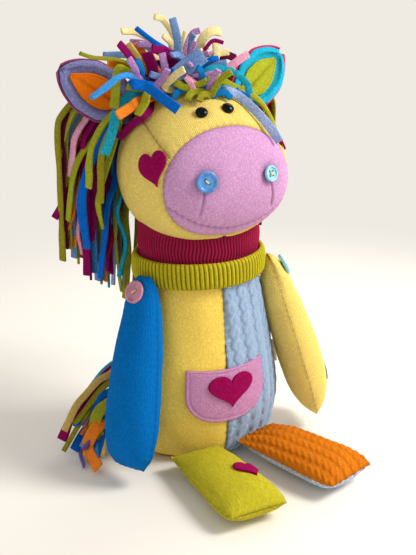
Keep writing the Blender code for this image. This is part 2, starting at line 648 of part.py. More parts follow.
def build_neck():
    """The folded lime cuff, the burgundy collar that stands in it and the neck's own stuffing."""
    angle = np.linspace(0.0, 2.0 * math.pi, NECK_TURNS, endpoint=False)
    top_wide = TORSO_HALF_WIDTH * TORSO_WIDTH_SHARES[-2][1]
    top_deep = TORSO_HALF_DEPTH * TORSO_DEPTH_SHARES[-2][1]

    def oval(grow, height):
        """An oval ring round the neck, grown from the torso's upper end."""
        return join((top_wide + grow) * np.sin(angle), -(top_deep + grow) * np.cos(angle), height)

    cuff_grow = -CUFF_INSET
    turned_in = CUFF_EDGE
    outside = cuff_grow + CUFF_WALL
    cuff = ring_wall(
        "neck_cuff",
        [oval(outside - turned_in, CUFF_BOTTOM), oval(outside, CUFF_BOTTOM + turned_in),
         oval(outside, CUFF_TOP - turned_in), oval(outside - turned_in, CUFF_TOP)],
        [oval(cuff_grow, CUFF_BOTTOM), oval(cuff_grow, CUFF_BOTTOM + turned_in),
         oval(cuff_grow, CUFF_TOP - turned_in), oval(cuff_grow, CUFF_TOP)], LIME_RIB)

    collar_out = cuff_grow - CLEARANCE
    collar_in = collar_out - COLLAR_WALL
    collar_bottom = TORSO_HEIGHT + CLEARANCE

    def rim(grow):
        """The collar's upper rim, a clearance below the head."""
        ring = oval(grow, 0.0)
        ring[:, 2] = head_underside(ring[:, 0], ring[:, 1]) - COLLAR_HEAD_GAP
        return ring

    collar = ring_wall(
        "neck_collar",
        [oval(collar_out, collar_bottom), oval(collar_out, CUFF_TOP), rim(collar_out)],
        [oval(collar_in, collar_bottom), oval(collar_in, CUFF_TOP), rim(collar_in)], BURGUNDY_RIB)

    neck_bottom = TORSO_HEIGHT + CLEARANCE
    inner = collar_in - CLEARANCE

    def share_ring(share, height=None):
        """A ring at a share of the neck's radius, at a height or under the head."""
        ring = oval(inner, 0.0)
        ring[:, :2] *= share
        ring[:, 2] = head_underside(ring[:, 0], ring[:, 1]) - HEAD_REST_GAP if height is None else height
        return ring

    bm = bmesh.new()
    foot = [share_ring(0.0, neck_bottom), share_ring(NECK_FILLING_FOOT_SHARE, neck_bottom),
            share_ring(1.0, neck_bottom + SEAM)]
    add_grid(bm, foot + [share_ring(share) for share in NECK_FILLING_TOP_SHARES], True)
    filling = place("neck_filling", bm, STUFFING)
    return cuff, collar, filling


def mouth_sweep(turn):
    """Sweep at which the mouth seam crosses a turn, or the muzzle seam where the mouth doesn't reach."""
    sweeps = np.linspace(MOUTH_FIRST_SWEEP, MUZZLE_SEAM, MOUTH_SEARCH_STEPS)
    result = np.full(turn.shape, MUZZLE_SEAM)
    for k, value in enumerate(turn):
        points = head_surface(np.full(sweeps.shape, value), sweeps)
        line = HEAD_HEIGHT + MOUTH_HEIGHT + MOUTH_RISE * (points[:, 0] / MOUTH_HALF_WIDTH) ** 2
        below = np.nonzero(points[:, 2] < line)[0]
        if len(below):
            result[k] = sweeps[below[0]]
    return result


def gusset_turn(sweep):
    """Half the gusset's turn at a sweep: wide over the eyes, narrow at the nape."""
    share = (sweep - MUZZLE_SEAM) / (math.pi - MUZZLE_SEAM)
    return GUSSET_FRONT + (GUSSET_BACK - GUSSET_FRONT) * share


def build_head():
    """The muzzle, the chin, the gusset over the eyes, the two side panels and the stuffing."""
    seam = 0.5 * SEAM / HEAD_HALF_HEIGHT
    turns = np.linspace(-math.pi, math.pi, MUZZLE_TURNS + 1)[:-1]
    edge = mouth_sweep(turns) - seam
    share = np.array(MUZZLE_RING_SHARES)[:, None]
    pole = POLE_SHARE
    sweep = pole + share * (edge[None, :] - pole)
    bm = bmesh.new()
    turn = np.broadcast_to(turns, sweep.shape)
    outer = add_grid(bm, lift(head_surface, turn, sweep, np.zeros(sweep.shape)), True)
    inner = add_grid(bm, lift(head_surface, turn, sweep, np.full(sweep.shape, -FELT)), True)
    bm.faces.new(outer[0])
    bm.faces.new(inner[0])
    bridge(bm, outer[-1], inner[-1], True)
    muzzle = place("muzzle_top", bm, LILAC)

    chin_turns = np.linspace(CHIN_TURN, 2.0 * math.pi - CHIN_TURN, HEAD_TURNS + 5)
    wrapped = np.where(chin_turns > math.pi, chin_turns - 2.0 * math.pi, chin_turns)
    upper = mouth_sweep(wrapped) + seam
    lower = np.full(upper.shape, MUZZLE_SEAM - seam)
    share = np.array(CHIN_RING_SHARES)[:, None]
    step = upper + share * (lower - upper)
    turn = np.broadcast_to(chin_turns, step.shape)
    chin = panel("muzzle_chin", head_surface, turn, step, 0.0, FELT, LILAC)

    sweeps = np.linspace(MUZZLE_SEAM + seam, math.pi - NAPE_OPENING, HEAD_SWEEPS + 2)
    half = gusset_turn(sweeps)
    share = np.linspace(-1.0, 1.0, HEAD_TURNS)
    turn = (half - seam)[:, None] * share
    step = np.broadcast_to(sweeps[:, None], turn.shape)
    gusset = panel("head_gusset", head_surface, turn, step, 0.0, FELT, YELLOW)
    sides = []
    share = np.linspace(0.0, 1.0, HEAD_TURNS + 3)
    for side in (-1, 1):
        first = (half + seam)[:, None]
        last = math.pi - seam
        turn = side * (first + share * (last - first))
        step = np.broadcast_to(sweeps[:, None], turn.shape)
        if side < 0:
            turn = turn[:, ::-1]
        sides.append(panel("head_side_" + side_word(side), head_surface, turn, step, 0.0, FELT, YELLOW))

    angle = np.linspace(-math.pi, math.pi, STUFFING_TURNS + 1)[:-1]
    sweeps = np.linspace(HEAD_FILLING_OPENING, math.pi - HEAD_FILLING_OPENING, HEAD_SWEEPS + 2)
    rings = [lift(head_surface, angle, np.full(angle.shape, sweep), np.full(angle.shape, -STUFFING_DEPTH))
             for sweep in sweeps]
    stuffing = loft("head_filling", rings, STUFFING)
    return muzzle, chin, gusset, sides, stuffing


def surface_frame(surface, turn, step, height):
    """A frame standing on a surface, its Z pointing out."""
    turn = np.array(turn)
    step = np.array(step)
    point = lift(surface, turn, step, np.array(height))
    outward = lift(surface, turn, step, np.array(height + MM)) - point
    return frame_matrix(point, outward)


def button(name, matrix, radius, thickness, holes, material):
    """A sewing button: a turned disc with a raised rim, a dished middle and round thread holes."""
    rim = BUTTON_RIM_SHARE * radius
    edge = [(radius - rim * inward, thickness * height) for inward, height in BUTTON_PROFILE_SHARES]
    profile = [(0.0, 0.0), *edge, (0.0, thickness * BUTTON_DISH_SHARE)]
    body = turned(name, profile, matrix, material, sides=BUTTON_SIDES)
    for k in range(holes):
        angle = 2.0 * math.pi * k / holes + math.pi / 4.0
        spot = matrix @ Matrix.Translation((BUTTON_HOLE_SPREAD * math.cos(angle),
                                            BUTTON_HOLE_SPREAD * math.sin(angle), 0.0))
        cut(body, cutter(f"{name} hole {k + 1}", spot, BUTTON_HOLE_RADIUS, -thickness, 2.0 * thickness))
    return body


def stitch(name, matrix, thickness, material):
    """A stitch through two opposite holes of a button, from the felt up, across and down again."""
    spread = BUTTON_HOLE_SPREAD / math.sqrt(2.0)
    crest = BUTTON_DISH_SHARE * thickness + THREAD_RADIUS + CLEARANCE
    foot = THREAD_RADIUS * STITCH_FOOT_SHARE
    bend = STITCH_BEND_SHARE * spread
    points = ((spread, spread, foot), (spread, spread, crest - THREAD_RADIUS), (bend, bend, crest),
              (-bend, -bend, crest), (-spread, -spread, crest - THREAD_RADIUS), (-spread, -spread, foot))
    return thread(name, points, matrix, material)


def build_face(gusset, stuffing):
    """Safety eyes with their washers, the nostril buttons with their stitches and the cheek hearts."""
    pieces = []
    for side in (-1, 1):
        word = side_word(side)
        seat = surface_frame(head_surface, side * EYE_TURN, EYE_SWEEP, CLEARANCE)
        stem = EYE_STEM_RADIUS
        profile = [(stem * wide, -EYE_STEM_LENGTH * deep) for wide, deep in EYE_STEM_SHARES]
        profile += [(EYE_RADIUS * wide, EYE_DOME * high) for wide, high in EYE_DOME_SHARES]
        pieces.append(turned(word + "_eye", profile, seat, BLACK_GLOSS, sides=EYE_SIDES))
        washer_top = -FELT - WASHER_GAP
        inner = stem + CLEARANCE
        bm = bmesh.new()
        angle = np.linspace(0.0, 2.0 * math.pi, WASHER_SIDES, endpoint=False)
        rings = [join(radius * np.cos(angle), radius * np.sin(angle), height) for radius, height in
                 ((inner, washer_top), (WASHER_RADIUS, washer_top),
                  (WASHER_RADIUS, washer_top - WASHER_THICKNESS), (inner, washer_top - WASHER_THICKNESS),
                  (inner, washer_top))]
        add_grid(bm, rings, True)
        bmesh.ops.transform(bm, matrix=seat, verts=bm.verts)
        pieces.append(place(word + "_eye_washer", bm, WHITE_PLASTIC))
        cut(gusset, cutter(word + " eye hole", seat, inner, -3.0 * FELT, FELT))
        cut(stuffing, cutter(word + " washer pocket", seat, WASHER_RADIUS + 2.0 * CLEARANCE,
                             washer_top - WASHER_THICKNESS - 2.0 * CLEARANCE, 3.0 * FELT))
        cut(stuffing, cutter(word + " stem pocket", seat, inner, -EYE_STEM_LENGTH - 2.0 * CLEARANCE, 0.0))

        radius = NEAR_NOSTRIL_RADIUS if side < 0 else FAR_NOSTRIL_RADIUS
        holes = 2 if side < 0 else 4
        sink = radius**2 / (2.0 * MUZZLE_REACH) * BUTTON_SINK_SHARE
        seat = surface_frame(head_surface, side * NOSTRIL_TURN, NOSTRIL_SWEEP, CLEARANCE + sink)
        material = AZURE_PLASTIC if side < 0 else SKY_PLASTIC
        pieces.append(button(word + "_nostril_button", seat, radius, NOSTRIL_THICKNESS, holes, material))
        pieces.append(stitch(word + "_nostril_stitch", seat, NOSTRIL_THICKNESS, CREAM_THREAD))

        pieces.append(applique(word + "_cheek_heart", head_surface, side * CHEEK_TURN, CHEEK_SWEEP, heart_outline,
                               (CHEEK_HEART_WIDTH, CHEEK_HEART_HEIGHT), side * math.pi / 2.0,
                               SEAM + APPLIQUE, APPLIQUE, MAGENTA))
    return pieces


def ear_surface_for(side):
    """The ear's middle surface: a pointed leaf, pinched at its root and cupped towards the front."""
    root = np.array((side * EAR_ROOT[0], EAR_ROOT[1], EAR_ROOT[2]))
    tip = np.array((side * EAR_TIP[0], EAR_TIP[1], EAR_TIP[2]))
    along = unit(tip - root)
    wanted = np.array((side * EAR_FACING[0], *EAR_FACING[1:]))
    facing = unit(wanted - along * np.dot(wanted, along))
    across = np.cross(along, facing)

    def surface(turn, step):
        """Leaf by share across, from -1 to 1, and share along."""
        half = 0.5 * EAR_WIDTH * follow(EAR_WIDTH_SHARES, step)
        cup = EAR_CUP * (turn**2) * (1.0 - EAR_FLATTEN_SHARE * step) - 0.5 * EAR_CUP
        return (root + along * (EAR_LENGTH * step)[..., None] + across * (half * turn)[..., None]
                + facing * cup[..., None])

    return surface


def build_ear(side):
    """One ear: a back and a front of felt, and the leaf-shaped inner piece."""
    word = side_word(side)
    surface = ear_surface_for(side)
    turn, step = np.meshgrid(np.linspace(-1.0, 1.0, EAR_COLUMNS), EAR_LENGTH_SHARES)
    back = panel(word + "_ear_back", surface, turn, step, -0.5 * CLEARANCE, EAR_LAYER,
                 MAGENTA if side < 0 else CRIMSON)
    front_wide, front_long = EAR_FRONT_SHARES
    front = panel(word + "_ear_front", surface, turn * front_wide, step * front_long, EAR_LAYER + CLEARANCE,
                  EAR_LAYER, PERIWINKLE if side < 0 else TURQUOISE)
    leaf_turn, leaf_step = np.meshgrid(np.linspace(-1.0, 1.0, EAR_COLUMNS - 2), np.linspace(0.0, 1.0, EAR_COLUMNS))
    narrow = np.sin(math.pi * between(EAR_LEAF_SPAN_SHARES, leaf_step)) ** EAR_LEAF_ROUNDING
    inner = panel(word + "_ear_inner", surface, leaf_turn * narrow * EAR_INNER_SHARE,
                  between(EAR_LEAF_SHARES, leaf_step), 2.0 * (EAR_LAYER + CLEARANCE), EAR_LAYER,
                  ORANGE if side < 0 else LIME)
    return pivot(word + "_ear_pivot", (side * EAR_ROOT[0], *EAR_ROOT[1:]), [back, front, inner])


def arm_frame(side, tilt, swing):
    """The shoulder's point and axis, and the arm's direction and broad side at rest."""
    out = np.array((side * math.sin(SHOULDER_AZIMUTH), -math.cos(SHOULDER_AZIMUTH), 0.0))
    forward = np.array((-side * math.cos(SHOULDER_AZIMUTH), -math.sin(SHOULDER_AZIMUTH), 0.0))
    hang = math.sin(tilt) * out - math.cos(tilt) * UP
    axis = math.cos(tilt) * out + math.sin(tilt) * UP
    along = math.cos(swing) * hang + math.sin(swing) * forward
    broad = -math.sin(swing) * hang + math.cos(swing) * forward
    point = SHOULDER_OUT * out + SHOULDER_HEIGHT * UP
    return point, axis, along, broad


def build_arm(side, torso_panel, torso_stuffing):
    """One arm with its button, the thread that it turns on and the anchor inside the torso."""
    word = side_word(side)
    tilt = RIGHT_ARM_TILT if side < 0 else LEFT_ARM_TILT
    swing = RIGHT_ARM_SWING if side < 0 else LEFT_ARM_SWING
    point, axis, along, broad = arm_frame(side, tilt, swing)
    root = point - ARM_PIVOT * along
    over = np.cross(unit(along), unit(broad))
    if np.dot(over, axis) < 0.0:
        broad = -broad
    sleeve = Sleeve(root, along, broad, ARM_LENGTH, ARM_HALF_WIDTH, ARM_HALF_OUTER, ARM_HALF_INNER,
                    ARM_WIDTH_SHARES, ARM_THICK_SHARES)
    felt = ROYAL_BLUE if side < 0 else YELLOW
    skins = [limb_panel(f"{word}_arm_{layer}", sleeve, way, felt) for layer, way in (("outer", 1), ("inner", -1))]
    stuffing = limb_stuffing(word + "_arm_filling", sleeve)

    pivot_sweep = math.acos(1.0 - 2.0 * ARM_PIVOT / ARM_LENGTH)
    outer_skin = sleeve(np.array(math.pi / 2.0), np.array(pivot_sweep))
    outer_height = float(np.dot(outer_skin - point, axis))
    shaft = frame_matrix(point, axis)
    button_bottom = outer_height + SHOULDER_BUTTON_STANDOFF
    tilted = unit(axis + math.tan(SHOULDER_BUTTON_TILT) * UP)
    seat = frame_matrix(point + axis * button_bottom, tilted, broad)
    plastic = PINK_PLASTIC if side < 0 else SKY_PLASTIC
    disc = button(word + "_shoulder_button", seat, SHOULDER_BUTTON_RADIUS, SHOULDER_BUTTON_THICKNESS, 2, plastic)

    spread = BUTTON_HOLE_SPREAD / math.sqrt(2.0)
    crest = BUTTON_DISH_SHARE * SHOULDER_BUTTON_THICKNESS + THREAD_RADIUS + CLEARANCE
    bend = STITCH_BEND_SHARE * spread
    to_shaft = shaft.inverted() @ seat
    top_points = [to_shaft @ Vector(spot) for spot in (
        (spread, spread, -2.0 * THREAD_RADIUS), (spread, spread, crest - THREAD_RADIUS),
        (bend, bend, crest), (-bend, -bend, crest),
        (-spread, -spread, crest - THREAD_RADIUS), (-spread, -spread, -CLEARANCE))]
    torso_skin = SHOULDER_OUT - (TORSO_HALF_WIDTH * TORSO_WIDTH_SHARES[-2][1])
    anchor_height = -torso_skin - ANCHOR_DEPTH
    strand = [(0.0, 0.0, anchor_height), (0.0, 0.0, 0.5 * anchor_height), (0.0, 0.0, 0.5 * outer_height),
              (0.0, 0.0, outer_height - THREAD_RADIUS)] + top_points
    line = thread(word + "_shoulder_thread", strand, shaft, CREAM_THREAD)
    reach = anchor_height - ANCHOR_THICKNESS
    anchor = turned(word + "_shoulder_anchor",
                    ((0.0, anchor_height - CLEARANCE - ANCHOR_THICKNESS),
                     (ANCHOR_RADIUS, anchor_height - CLEARANCE - ANCHOR_THICKNESS),
                     (ANCHOR_RADIUS, anchor_height - CLEARANCE), (0.0, anchor_height - CLEARANCE)),
                    shaft, WHITE_PLASTIC, sides=WASHER_SIDES)
    bore = THREAD_RADIUS + 2.0 * CLEARANCE
    for index, body in enumerate((*skins, stuffing)):
        cut(body, cutter(f"{word} arm bore {index + 1}", shaft, bore, -2.0 * ARM_HALF_INNER, 2.0 * ARM_HALF_OUTER))
    cut(torso_panel, cutter(word + " torso bore", shaft, bore, anchor_height, ARM_HALF_INNER))
    cut(torso_stuffing, cutter(word + " stuffing bore", shaft, bore, reach, ARM_HALF_INNER))
    cut(torso_stuffing, cutter(word + " anchor pocket", shaft, ANCHOR_RADIUS + 3.0 * CLEARANCE,
                               anchor_height - ANCHOR_THICKNESS - 3.0 * CLEARANCE, anchor_height + CLEARANCE))
    holder = pivot(word + "_shoulder_pivot", point, [*skins, stuffing, disc, line, anchor])
    return sleeve, holder


def build_leg(side):
    """One leg: a top panel, a sole panel and the stuffing, sewn flat at the hip."""
    word = side_word(side)
    splay = RIGHT_LEG_SPLAY if side < 0 else LEFT_LEG_SPLAY
    along = np.array((math.sin(splay), -math.cos(splay), 0.0))
    broad = np.array((math.cos(splay), math.sin(splay), 0.0))
    swing_in = 0.5 * HIP_SIDE * math.tan(splay)
    root = np.array((side * HIP_SIDE, -HIP_FORWARD + swing_in, HIP_HEIGHT))
    sleeve = Sleeve(root, along, broad, LEG_LENGTH, LEG_HALF_WIDTH, LEG_HALF_THICK, LEG_HALF_THICK,
                    LEG_WIDTH_SHARES, LEG_THICK_SHARES)
    cloth = {"top": LIME if side < 0 else ORANGE, "sole": LIME if side < 0 else HEATHER_BLUE}
    skins = [limb_panel(f"{word}_leg_{layer}", sleeve, way, cloth[layer]) for layer, way in (("top", 1), ("sole", -1))]
    stuffing = limb_stuffing(word + "_leg_filling", sleeve)
    holder = pivot(word + "_hip_pivot", root, [*skins, stuffing])
    return sleeve, holder


def comb(name, stations, ups, strips, material):
    """A root band with felt strips growing out of its faces, as one closed body.

    stations are the band's middle points, ups its outward directions there. Each strip is (segment, face, path):
    it leaves the named face of that segment of the band and follows its path, whose first point is that face.
    """
    bm = bmesh.new()
    count = len(stations)
    along = unit(np.gradient(np.asarray(stations), axis=0))
    side = unit(np.cross(along, ups))
    half_wide = 0.5 * BAND_WIDTH
    corners = ((1.0, 1.0), (-1.0, 1.0), (-1.0, -1.0), (1.0, -1.0))
    rings = []
    for k in range(count):
        rings.append([bm.verts.new(stations[k] + side[k] * half_wide * a + ups[k] * 0.5 * BAND_THICKNESS * (b + 1.0))
                      for a, b in corners])
    faces = {"up": (0, 1), "left": (1, 2), "down": (2, 3), "right": (3, 0)}
    taken = {(segment, face): path for segment, face, path in strips}
    bm.faces.new(rings[0])
    bm.faces.new(rings[-1])
    for k in range(count - 1):
        for face, (a, b) in faces.items():
            loop = [rings[k][a], rings[k][b], rings[k + 1][b], rings[k + 1][a]]
            path = taken.get((k, face))
            if path is None:
                bm.faces.new(loop)
                continue
            grow_strip(bm, loop, path)
    return place(name, bm, material)


def grow_strip(bm, loop, path):
    """Grows one strip from four vertices along a path of points, keeping its width level with the band."""
    middle = np.mean([np.array(vertex.co) for vertex in loop], axis=0)
    width = unit(np.array(loop[2].co) - np.array(loop[1].co))
    previous = loop
    points = np.asarray(path)
    tangents = unit(np.gradient(np.vstack((middle, points)), axis=0))[1:]
    for point, tangent in zip(points, tangents):
        width = unit(width - tangent * np.dot(width, tangent))
        thick = np.cross(tangent, width)
        reference = np.array(loop[1].co) - np.array(loop[0].co)
        if np.dot(thick, reference) < 0.0 and previous is loop:
            thick = -thick
            flip = -1.0
        elif previous is loop:
            flip = 1.0
        thick = flip * np.cross(tangent, width)
        shape = ((-1.0, -1.0), (1.0, -1.0), (1.0, 1.0), (-1.0, 1.0))
        ring = [bm.verts.new(point + thick * 0.5 * STRIP_THICKNESS * a + width * 0.5 * STRIP_WIDTH * b)
                for a, b in shape]
        bridge(bm, previous, ring, True)
        previous = ring
    bm.faces.new(previous)


def keep_off_head(points, clearance):
    """Moves points that come too near the head out to a clearance over its skin."""
    middle = np.array((0.0, HEAD_BACK_SHIFT, HEAD_HEIGHT))
    away = points - middle
    ahead = away[:, 1] < 0.0
    reach = np.where(ahead, MUZZLE_REACH, NAPE_REACH) + clearance
    scale = np.stack((np.full(len(points), HEAD_HALF_WIDTH + clearance), reach,
                      np.full(len(points), HEAD_HALF_HEIGHT + clearance)), axis=-1)
    ratio = np.linalg.norm(away / scale, axis=1)[:, None]
    return np.where(ratio < 1.0, middle + away / np.maximum(ratio, 1e-6), points)


def crest_line(first, last, count, shift):
    """Points along the top of the head, beside its middle line, with their outward directions."""
    sweep = np.linspace(first, last, count)
    turn = np.full(sweep.shape, shift / HEAD_HALF_HEIGHT)
    base = lift(head_surface, turn, sweep, np.full(sweep.shape, MANE_CLEARANCE))
    out = unit(lift(head_surface, turn, sweep, np.full(sweep.shape, MANE_CLEARANCE + MM)) - base)
    return base, out


def lock_path(start, heading, reach, drop, fall, rise, sway):
    """A strip that arches out from the crest over the head and hangs straight down.

    heading is its direction seen from above, reach how far out it hangs, drop the height of its arch, fall the
    length that hangs below the arch, rise its first lift and sway how far its end drifts along the body.
    """
    heading = np.array((heading[0], heading[1], 0.0))
    points = []
    for share in LOCK_ARCH_SHARES:
        turn = 0.5 * math.pi * share
        points.append(start + heading * reach * math.sin(turn) - UP * drop * (1.0 - math.cos(turn))
                      + UP * rise * math.sin(2.0 * turn))
    low = start + heading * reach - UP * drop
    for share in LOCK_FALL_SHARES:
        points.append(low - UP * fall * share + np.array((0.0, sway * share**2, 0.0)))
    return np.array(points)


def tuft_path(start, out, heading, height, reach):
    """A short strip that stands out of the crest and bends over towards its heading."""
    heading = np.array((heading[0], heading[1], heading[2]))
    return np.array([start + out * height * math.sin(0.5 * math.pi * share) + heading * reach * share**TUFT_BEND_POWER
                     for share in TUFT_SHARES])


def between(ends, share):
    """The value at a share of the way between two ends."""
    return ends[0] + (ends[1] - ends[0]) * share


def hanging_lock(start, side, share, reaches, levels, drops, rise, fall):
    """One lock that leaves the crest, bends over to its side and hangs where its share of the crest says."""
    target = np.array((side * between(reaches, share), between(levels, share)))
    away = target - start[:2]
    path = lock_path(start, unit(away), float(np.linalg.norm(away)), between(drops, share), fall, rise, LOCK_SWAY)
    return keep_off_head(path, LOCK_HEAD_GAP)


def build_mane_locks(side):
    """The locks of one side: a few in front of the ear and two rows behind it, with short tufts between."""
    stations, ups = crest_line(*MANE_CREST_SWEEPS, MANE_SEGMENTS + 1, side * MANE_BAND_SHIFT)
    falls = RIGHT_LOCK_FALLS if side < 0 else LEFT_LOCK_FALLS
    face = "left" if side < 0 else "right"
    strips = []
    for k in range(FRONT_LOCKS):
        start = 0.5 * (stations[k] + stations[k + 1]) + ups[k] * MANE_CLEARANCE
        turn = FRONT_LOCK_TURN * (k + 1)
        heading = np.array((side * math.cos(turn), -math.sin(turn)))
        path = lock_path(start, heading, FRONT_LOCK_REACH + FRONT_LOCK_SPREAD * k, FRONT_LOCK_DROP,
                         FRONT_LOCK_FALL - FRONT_LOCK_STAGGER * k, FRONT_LOCK_RISE, FRONT_LOCK_SWAY)
        strips.append((k, face, keep_off_head(path, LOCK_HEAD_GAP)))
    for k in range(BACK_LOCKS):
        segment = MANE_SEGMENTS - BACK_LOCKS + k
        share = k / (BACK_LOCKS - 1)
        middle = 0.5 * (stations[segment] + stations[segment + 1])
        stagger = LOCK_STAGGER * math.sin(STAGGER_TURN * k)
        longer = 2.0 * share * (1.0 - share)
        fall = falls[1] - (falls[1] - falls[0]) * longer
        low = hanging_lock(middle + ups[segment] * MANE_CLEARANCE, side, share, LOWER_ROW_REACHES,
                           LOWER_ROW_LEVELS, LOWER_ROW_DROPS, LOWER_ROW_RISE, fall + stagger)
        high = hanging_lock(middle + ups[segment] * BAND_THICKNESS, side, share, UPPER_ROW_REACHES,
                            UPPER_ROW_LEVELS, UPPER_ROW_DROPS, UPPER_ROW_RISE, fall - stagger)
        strips.append((segment, face, low))
        strips.append((segment, "up", high))
    for k in range(FRONT_LOCKS + 1, MANE_SEGMENTS - BACK_LOCKS):
        start = 0.5 * (stations[k] + stations[k + 1]) + ups[k] * BAND_THICKNESS
        turn = between(SIDE_TUFT_TURNS, k - FRONT_LOCKS - 1)
        lean = np.array((side * math.cos(turn), math.sin(turn), 0.0))
        reach = SIDE_TUFT_REACH + SIDE_TUFT_STAGGER * math.sin(STAGGER_TURN * k)
        strips.append((k, "up", tuft_path(start, ups[k], lean, SIDE_TUFT_HEIGHT, reach)))
    return comb("mane_" + side_word(side), stations, ups, strips, OLIVE)


def build_crown():
    """The short strips that stand up and lean every way along the top of the head."""
    count = len(CROWN_UP_SHARES)
    stations, ups = crest_line(*CROWN_SWEEPS, count + 1, 0.0)
    strips = []
    for face, rows in (("up", CROWN_UP_SHARES), ("left", CROWN_RIGHT_SHARES), ("right", CROWN_LEFT_SHARES)):
        for k, (turn_share, height_share, reach_share) in enumerate(rows):
            turn = 2.0 * math.pi * turn_share
            start = 0.5 * (stations[k] + stations[k + 1]) + ups[k] * BAND_THICKNESS
            lean = np.array((math.cos(turn), math.sin(turn), 0.0))
            strips.append((k, face, tuft_path(start, ups[k], lean, CROWN_HEIGHT * height_share,
                                              CROWN_REACH * reach_share)))
    return comb("mane_crown", stations, ups, strips, ROYAL_BLUE)


def build_forelock():
    """The short strips over the forehead: some bend to each side of it and some stand up."""
    stations, ups = crest_line(*FORELOCK_SWEEPS, FORELOCK_SEGMENTS + 1, 0.0)
    strips = []
    for k in range(FORELOCK_SEGMENTS):
        middle = 0.5 * (stations[k] + stations[k + 1])
        share = k / (FORELOCK_SEGMENTS - 1)
        turn = between(FORELOCK_TUFT_TURNS, share)
        lean = unit(np.array((math.cos(turn), math.sin(turn), 0.5)))
        start = middle + ups[k] * BAND_THICKNESS
        strips.append((k, "up", tuft_path(start, ups[k], lean, FORELOCK_TUFT_HEIGHT, FORELOCK_TUFT_REACH)))
        for face, side in (("left", -1.0), ("right", 1.0)):
            turn = between(FORELOCK_TURNS, share)
            heading = np.array((side * math.cos(turn), -math.sin(turn)))
            path = lock_path(middle + ups[k] * MANE_CLEARANCE, heading, between(FORELOCK_REACHES, share),
                             FORELOCK_DROP, 0.0, FORELOCK_RISE, 0.0)
            strips.append((k, face, keep_off_head(path[:len(LOCK_ARCH_SHARES)], LOCK_HEAD_GAP)))
    return comb("mane_forelock", stations, ups, strips, TURQUOISE)


def tail_path(start, reach, curl, end_height):
    """A strip that swings out to the right round the torso and down to the ground."""
    share = np.array(TAIL_PATH_SHARES)
    drop = start[2] - end_height
    return start + join(-reach * share, TAIL_BOW * share - curl * share**2,
                        TAIL_RISE * np.sin(math.pi * share) - drop * share**2)


def build_tail():
    """The tail: two rows of strips out of a band up the back seam, sweeping round to the right."""
    heights = np.linspace(TAIL_BOTTOM, TAIL_TOP, TAIL_STRIPS + 1)
    rise = heights / TORSO_HEIGHT
    back = np.full(rise.shape, math.pi)
    stations = lift(torso_surface, back, rise, np.full(rise.shape, CLEARANCE))
    ups = unit(lift(torso_surface, back, rise, np.full(rise.shape, CLEARANCE + MM)) - stations)
    strips = []
    for k in range(TAIL_STRIPS):
        middle = 0.5 * (stations[k] + stations[k + 1])
        share = k / (TAIL_STRIPS - 1)
        for row, face in enumerate(("right", "up")):
            start = middle + ups[k] * (MANE_CLEARANCE + row * (BAND_THICKNESS + TAIL_ROW_GAP))
            reach = TAIL_REACH + TAIL_STAGGER * math.sin(STAGGER_TURN * k)
            path = tail_path(start, reach, between(TAIL_CURLS, share), between(TAIL_END_HEIGHTS, share))
            strips.append((k, face, path))
    return comb("tail", stations, ups, strips, OLIVE)


def build_pocket():
    """The patch pocket and the heart sewn on it."""
    level = 0.5 * (POCKET_TOP + POCKET_BOTTOM) / TORSO_HEIGHT
    size = (2.0 * POCKET_HALF_WIDTH, POCKET_TOP - POCKET_BOTTOM)
    pocket = applique("pocket", torso_surface, 0.0, level, pocket_outline, size, 0.0,
                      2.0 * SEAM + APPLIQUE, APPLIQUE, PALE_LILAC, rings=5)
    heart = applique("pocket_heart", torso_surface, POCKET_HEART_TURN, POCKET_HEART_LEVEL / TORSO_HEIGHT,
                     heart_outline, (POCKET_HEART_WIDTH, POCKET_HEART_HEIGHT), 0.0,
                     3.0 * SEAM + 2.0 * APPLIQUE, APPLIQUE, MAGENTA)
    return pocket, heart


def build_label():
    """The blank label sewn into the left side seam: a folded tape that stands out from the torso."""
    rise = np.linspace(LABEL_BOTTOM, LABEL_TOP, 4) / TORSO_HEIGHT
    side = np.full(rise.shape, 0.5 * math.pi)
    near = lift(torso_surface, side, rise, np.full(rise.shape, CLEARANCE))
    far = near + LABEL_REACH * unit(np.array(LABEL_HEADING))
    thick = unit(np.cross(far - near, UP)) * LABEL_THICKNESS
    return loft("side_label", [np.stack((near[k], far[k], far[k] + thick[k], near[k] + thick[k]))
                               for k in range(len(rise))], WHITE_TAPE)


for old in list(bpy.data.objects):
    bpy.data.objects.remove(old, do_unlink=True)

PLAIN = finish("cutter", (0.5, 0.5, 0.5))
YELLOW = finish("yellow felted wool", (0.78, 0.58, 0.17))
BLUE_CABLE = finish("light blue cable knit", (0.35, 0.48, 0.72))
MAUVE = finish("mauve felted wool", (0.42, 0.30, 0.40))
LILAC = finish("lilac felted wool", (0.60, 0.36, 0.60))
PALE_LILAC = finish("pale lilac felted wool", (0.66, 0.40, 0.62))
LIME = finish("lime felted wool", (0.42, 0.44, 0.03))
LIME_RIB = finish("lime ribbed knit", (0.45, 0.47, 0.04))
BURGUNDY_RIB = finish("burgundy ribbed knit", (0.36, 0.02, 0.07))
ORANGE = finish("orange cable knit", (0.85, 0.22, 0.01))
HEATHER_BLUE = finish("heather blue wool", (0.38, 0.50, 0.68))
ROYAL_BLUE = finish("royal blue felted wool", (0.0, 0.13, 0.50))
MAGENTA = finish("magenta felt", (0.27, 0.0, 0.12))
CRIMSON = finish("crimson felt", (0.60, 0.03, 0.14))
PERIWINKLE = finish("periwinkle felt", (0.20, 0.17, 0.45))
TURQUOISE = finish("turquoise felt", (0.0, 0.45, 0.62))
OLIVE = finish("olive felt", (0.36, 0.36, 0.04))
STUFFING = finish("polyester stuffing", (0.85, 0.85, 0.83))
BLACK_GLOSS = finish("black glossy plastic", (0.005, 0.005, 0.005), 0.12)
WHITE_PLASTIC = finish("white plastic", (0.8, 0.8, 0.8), 0.5)
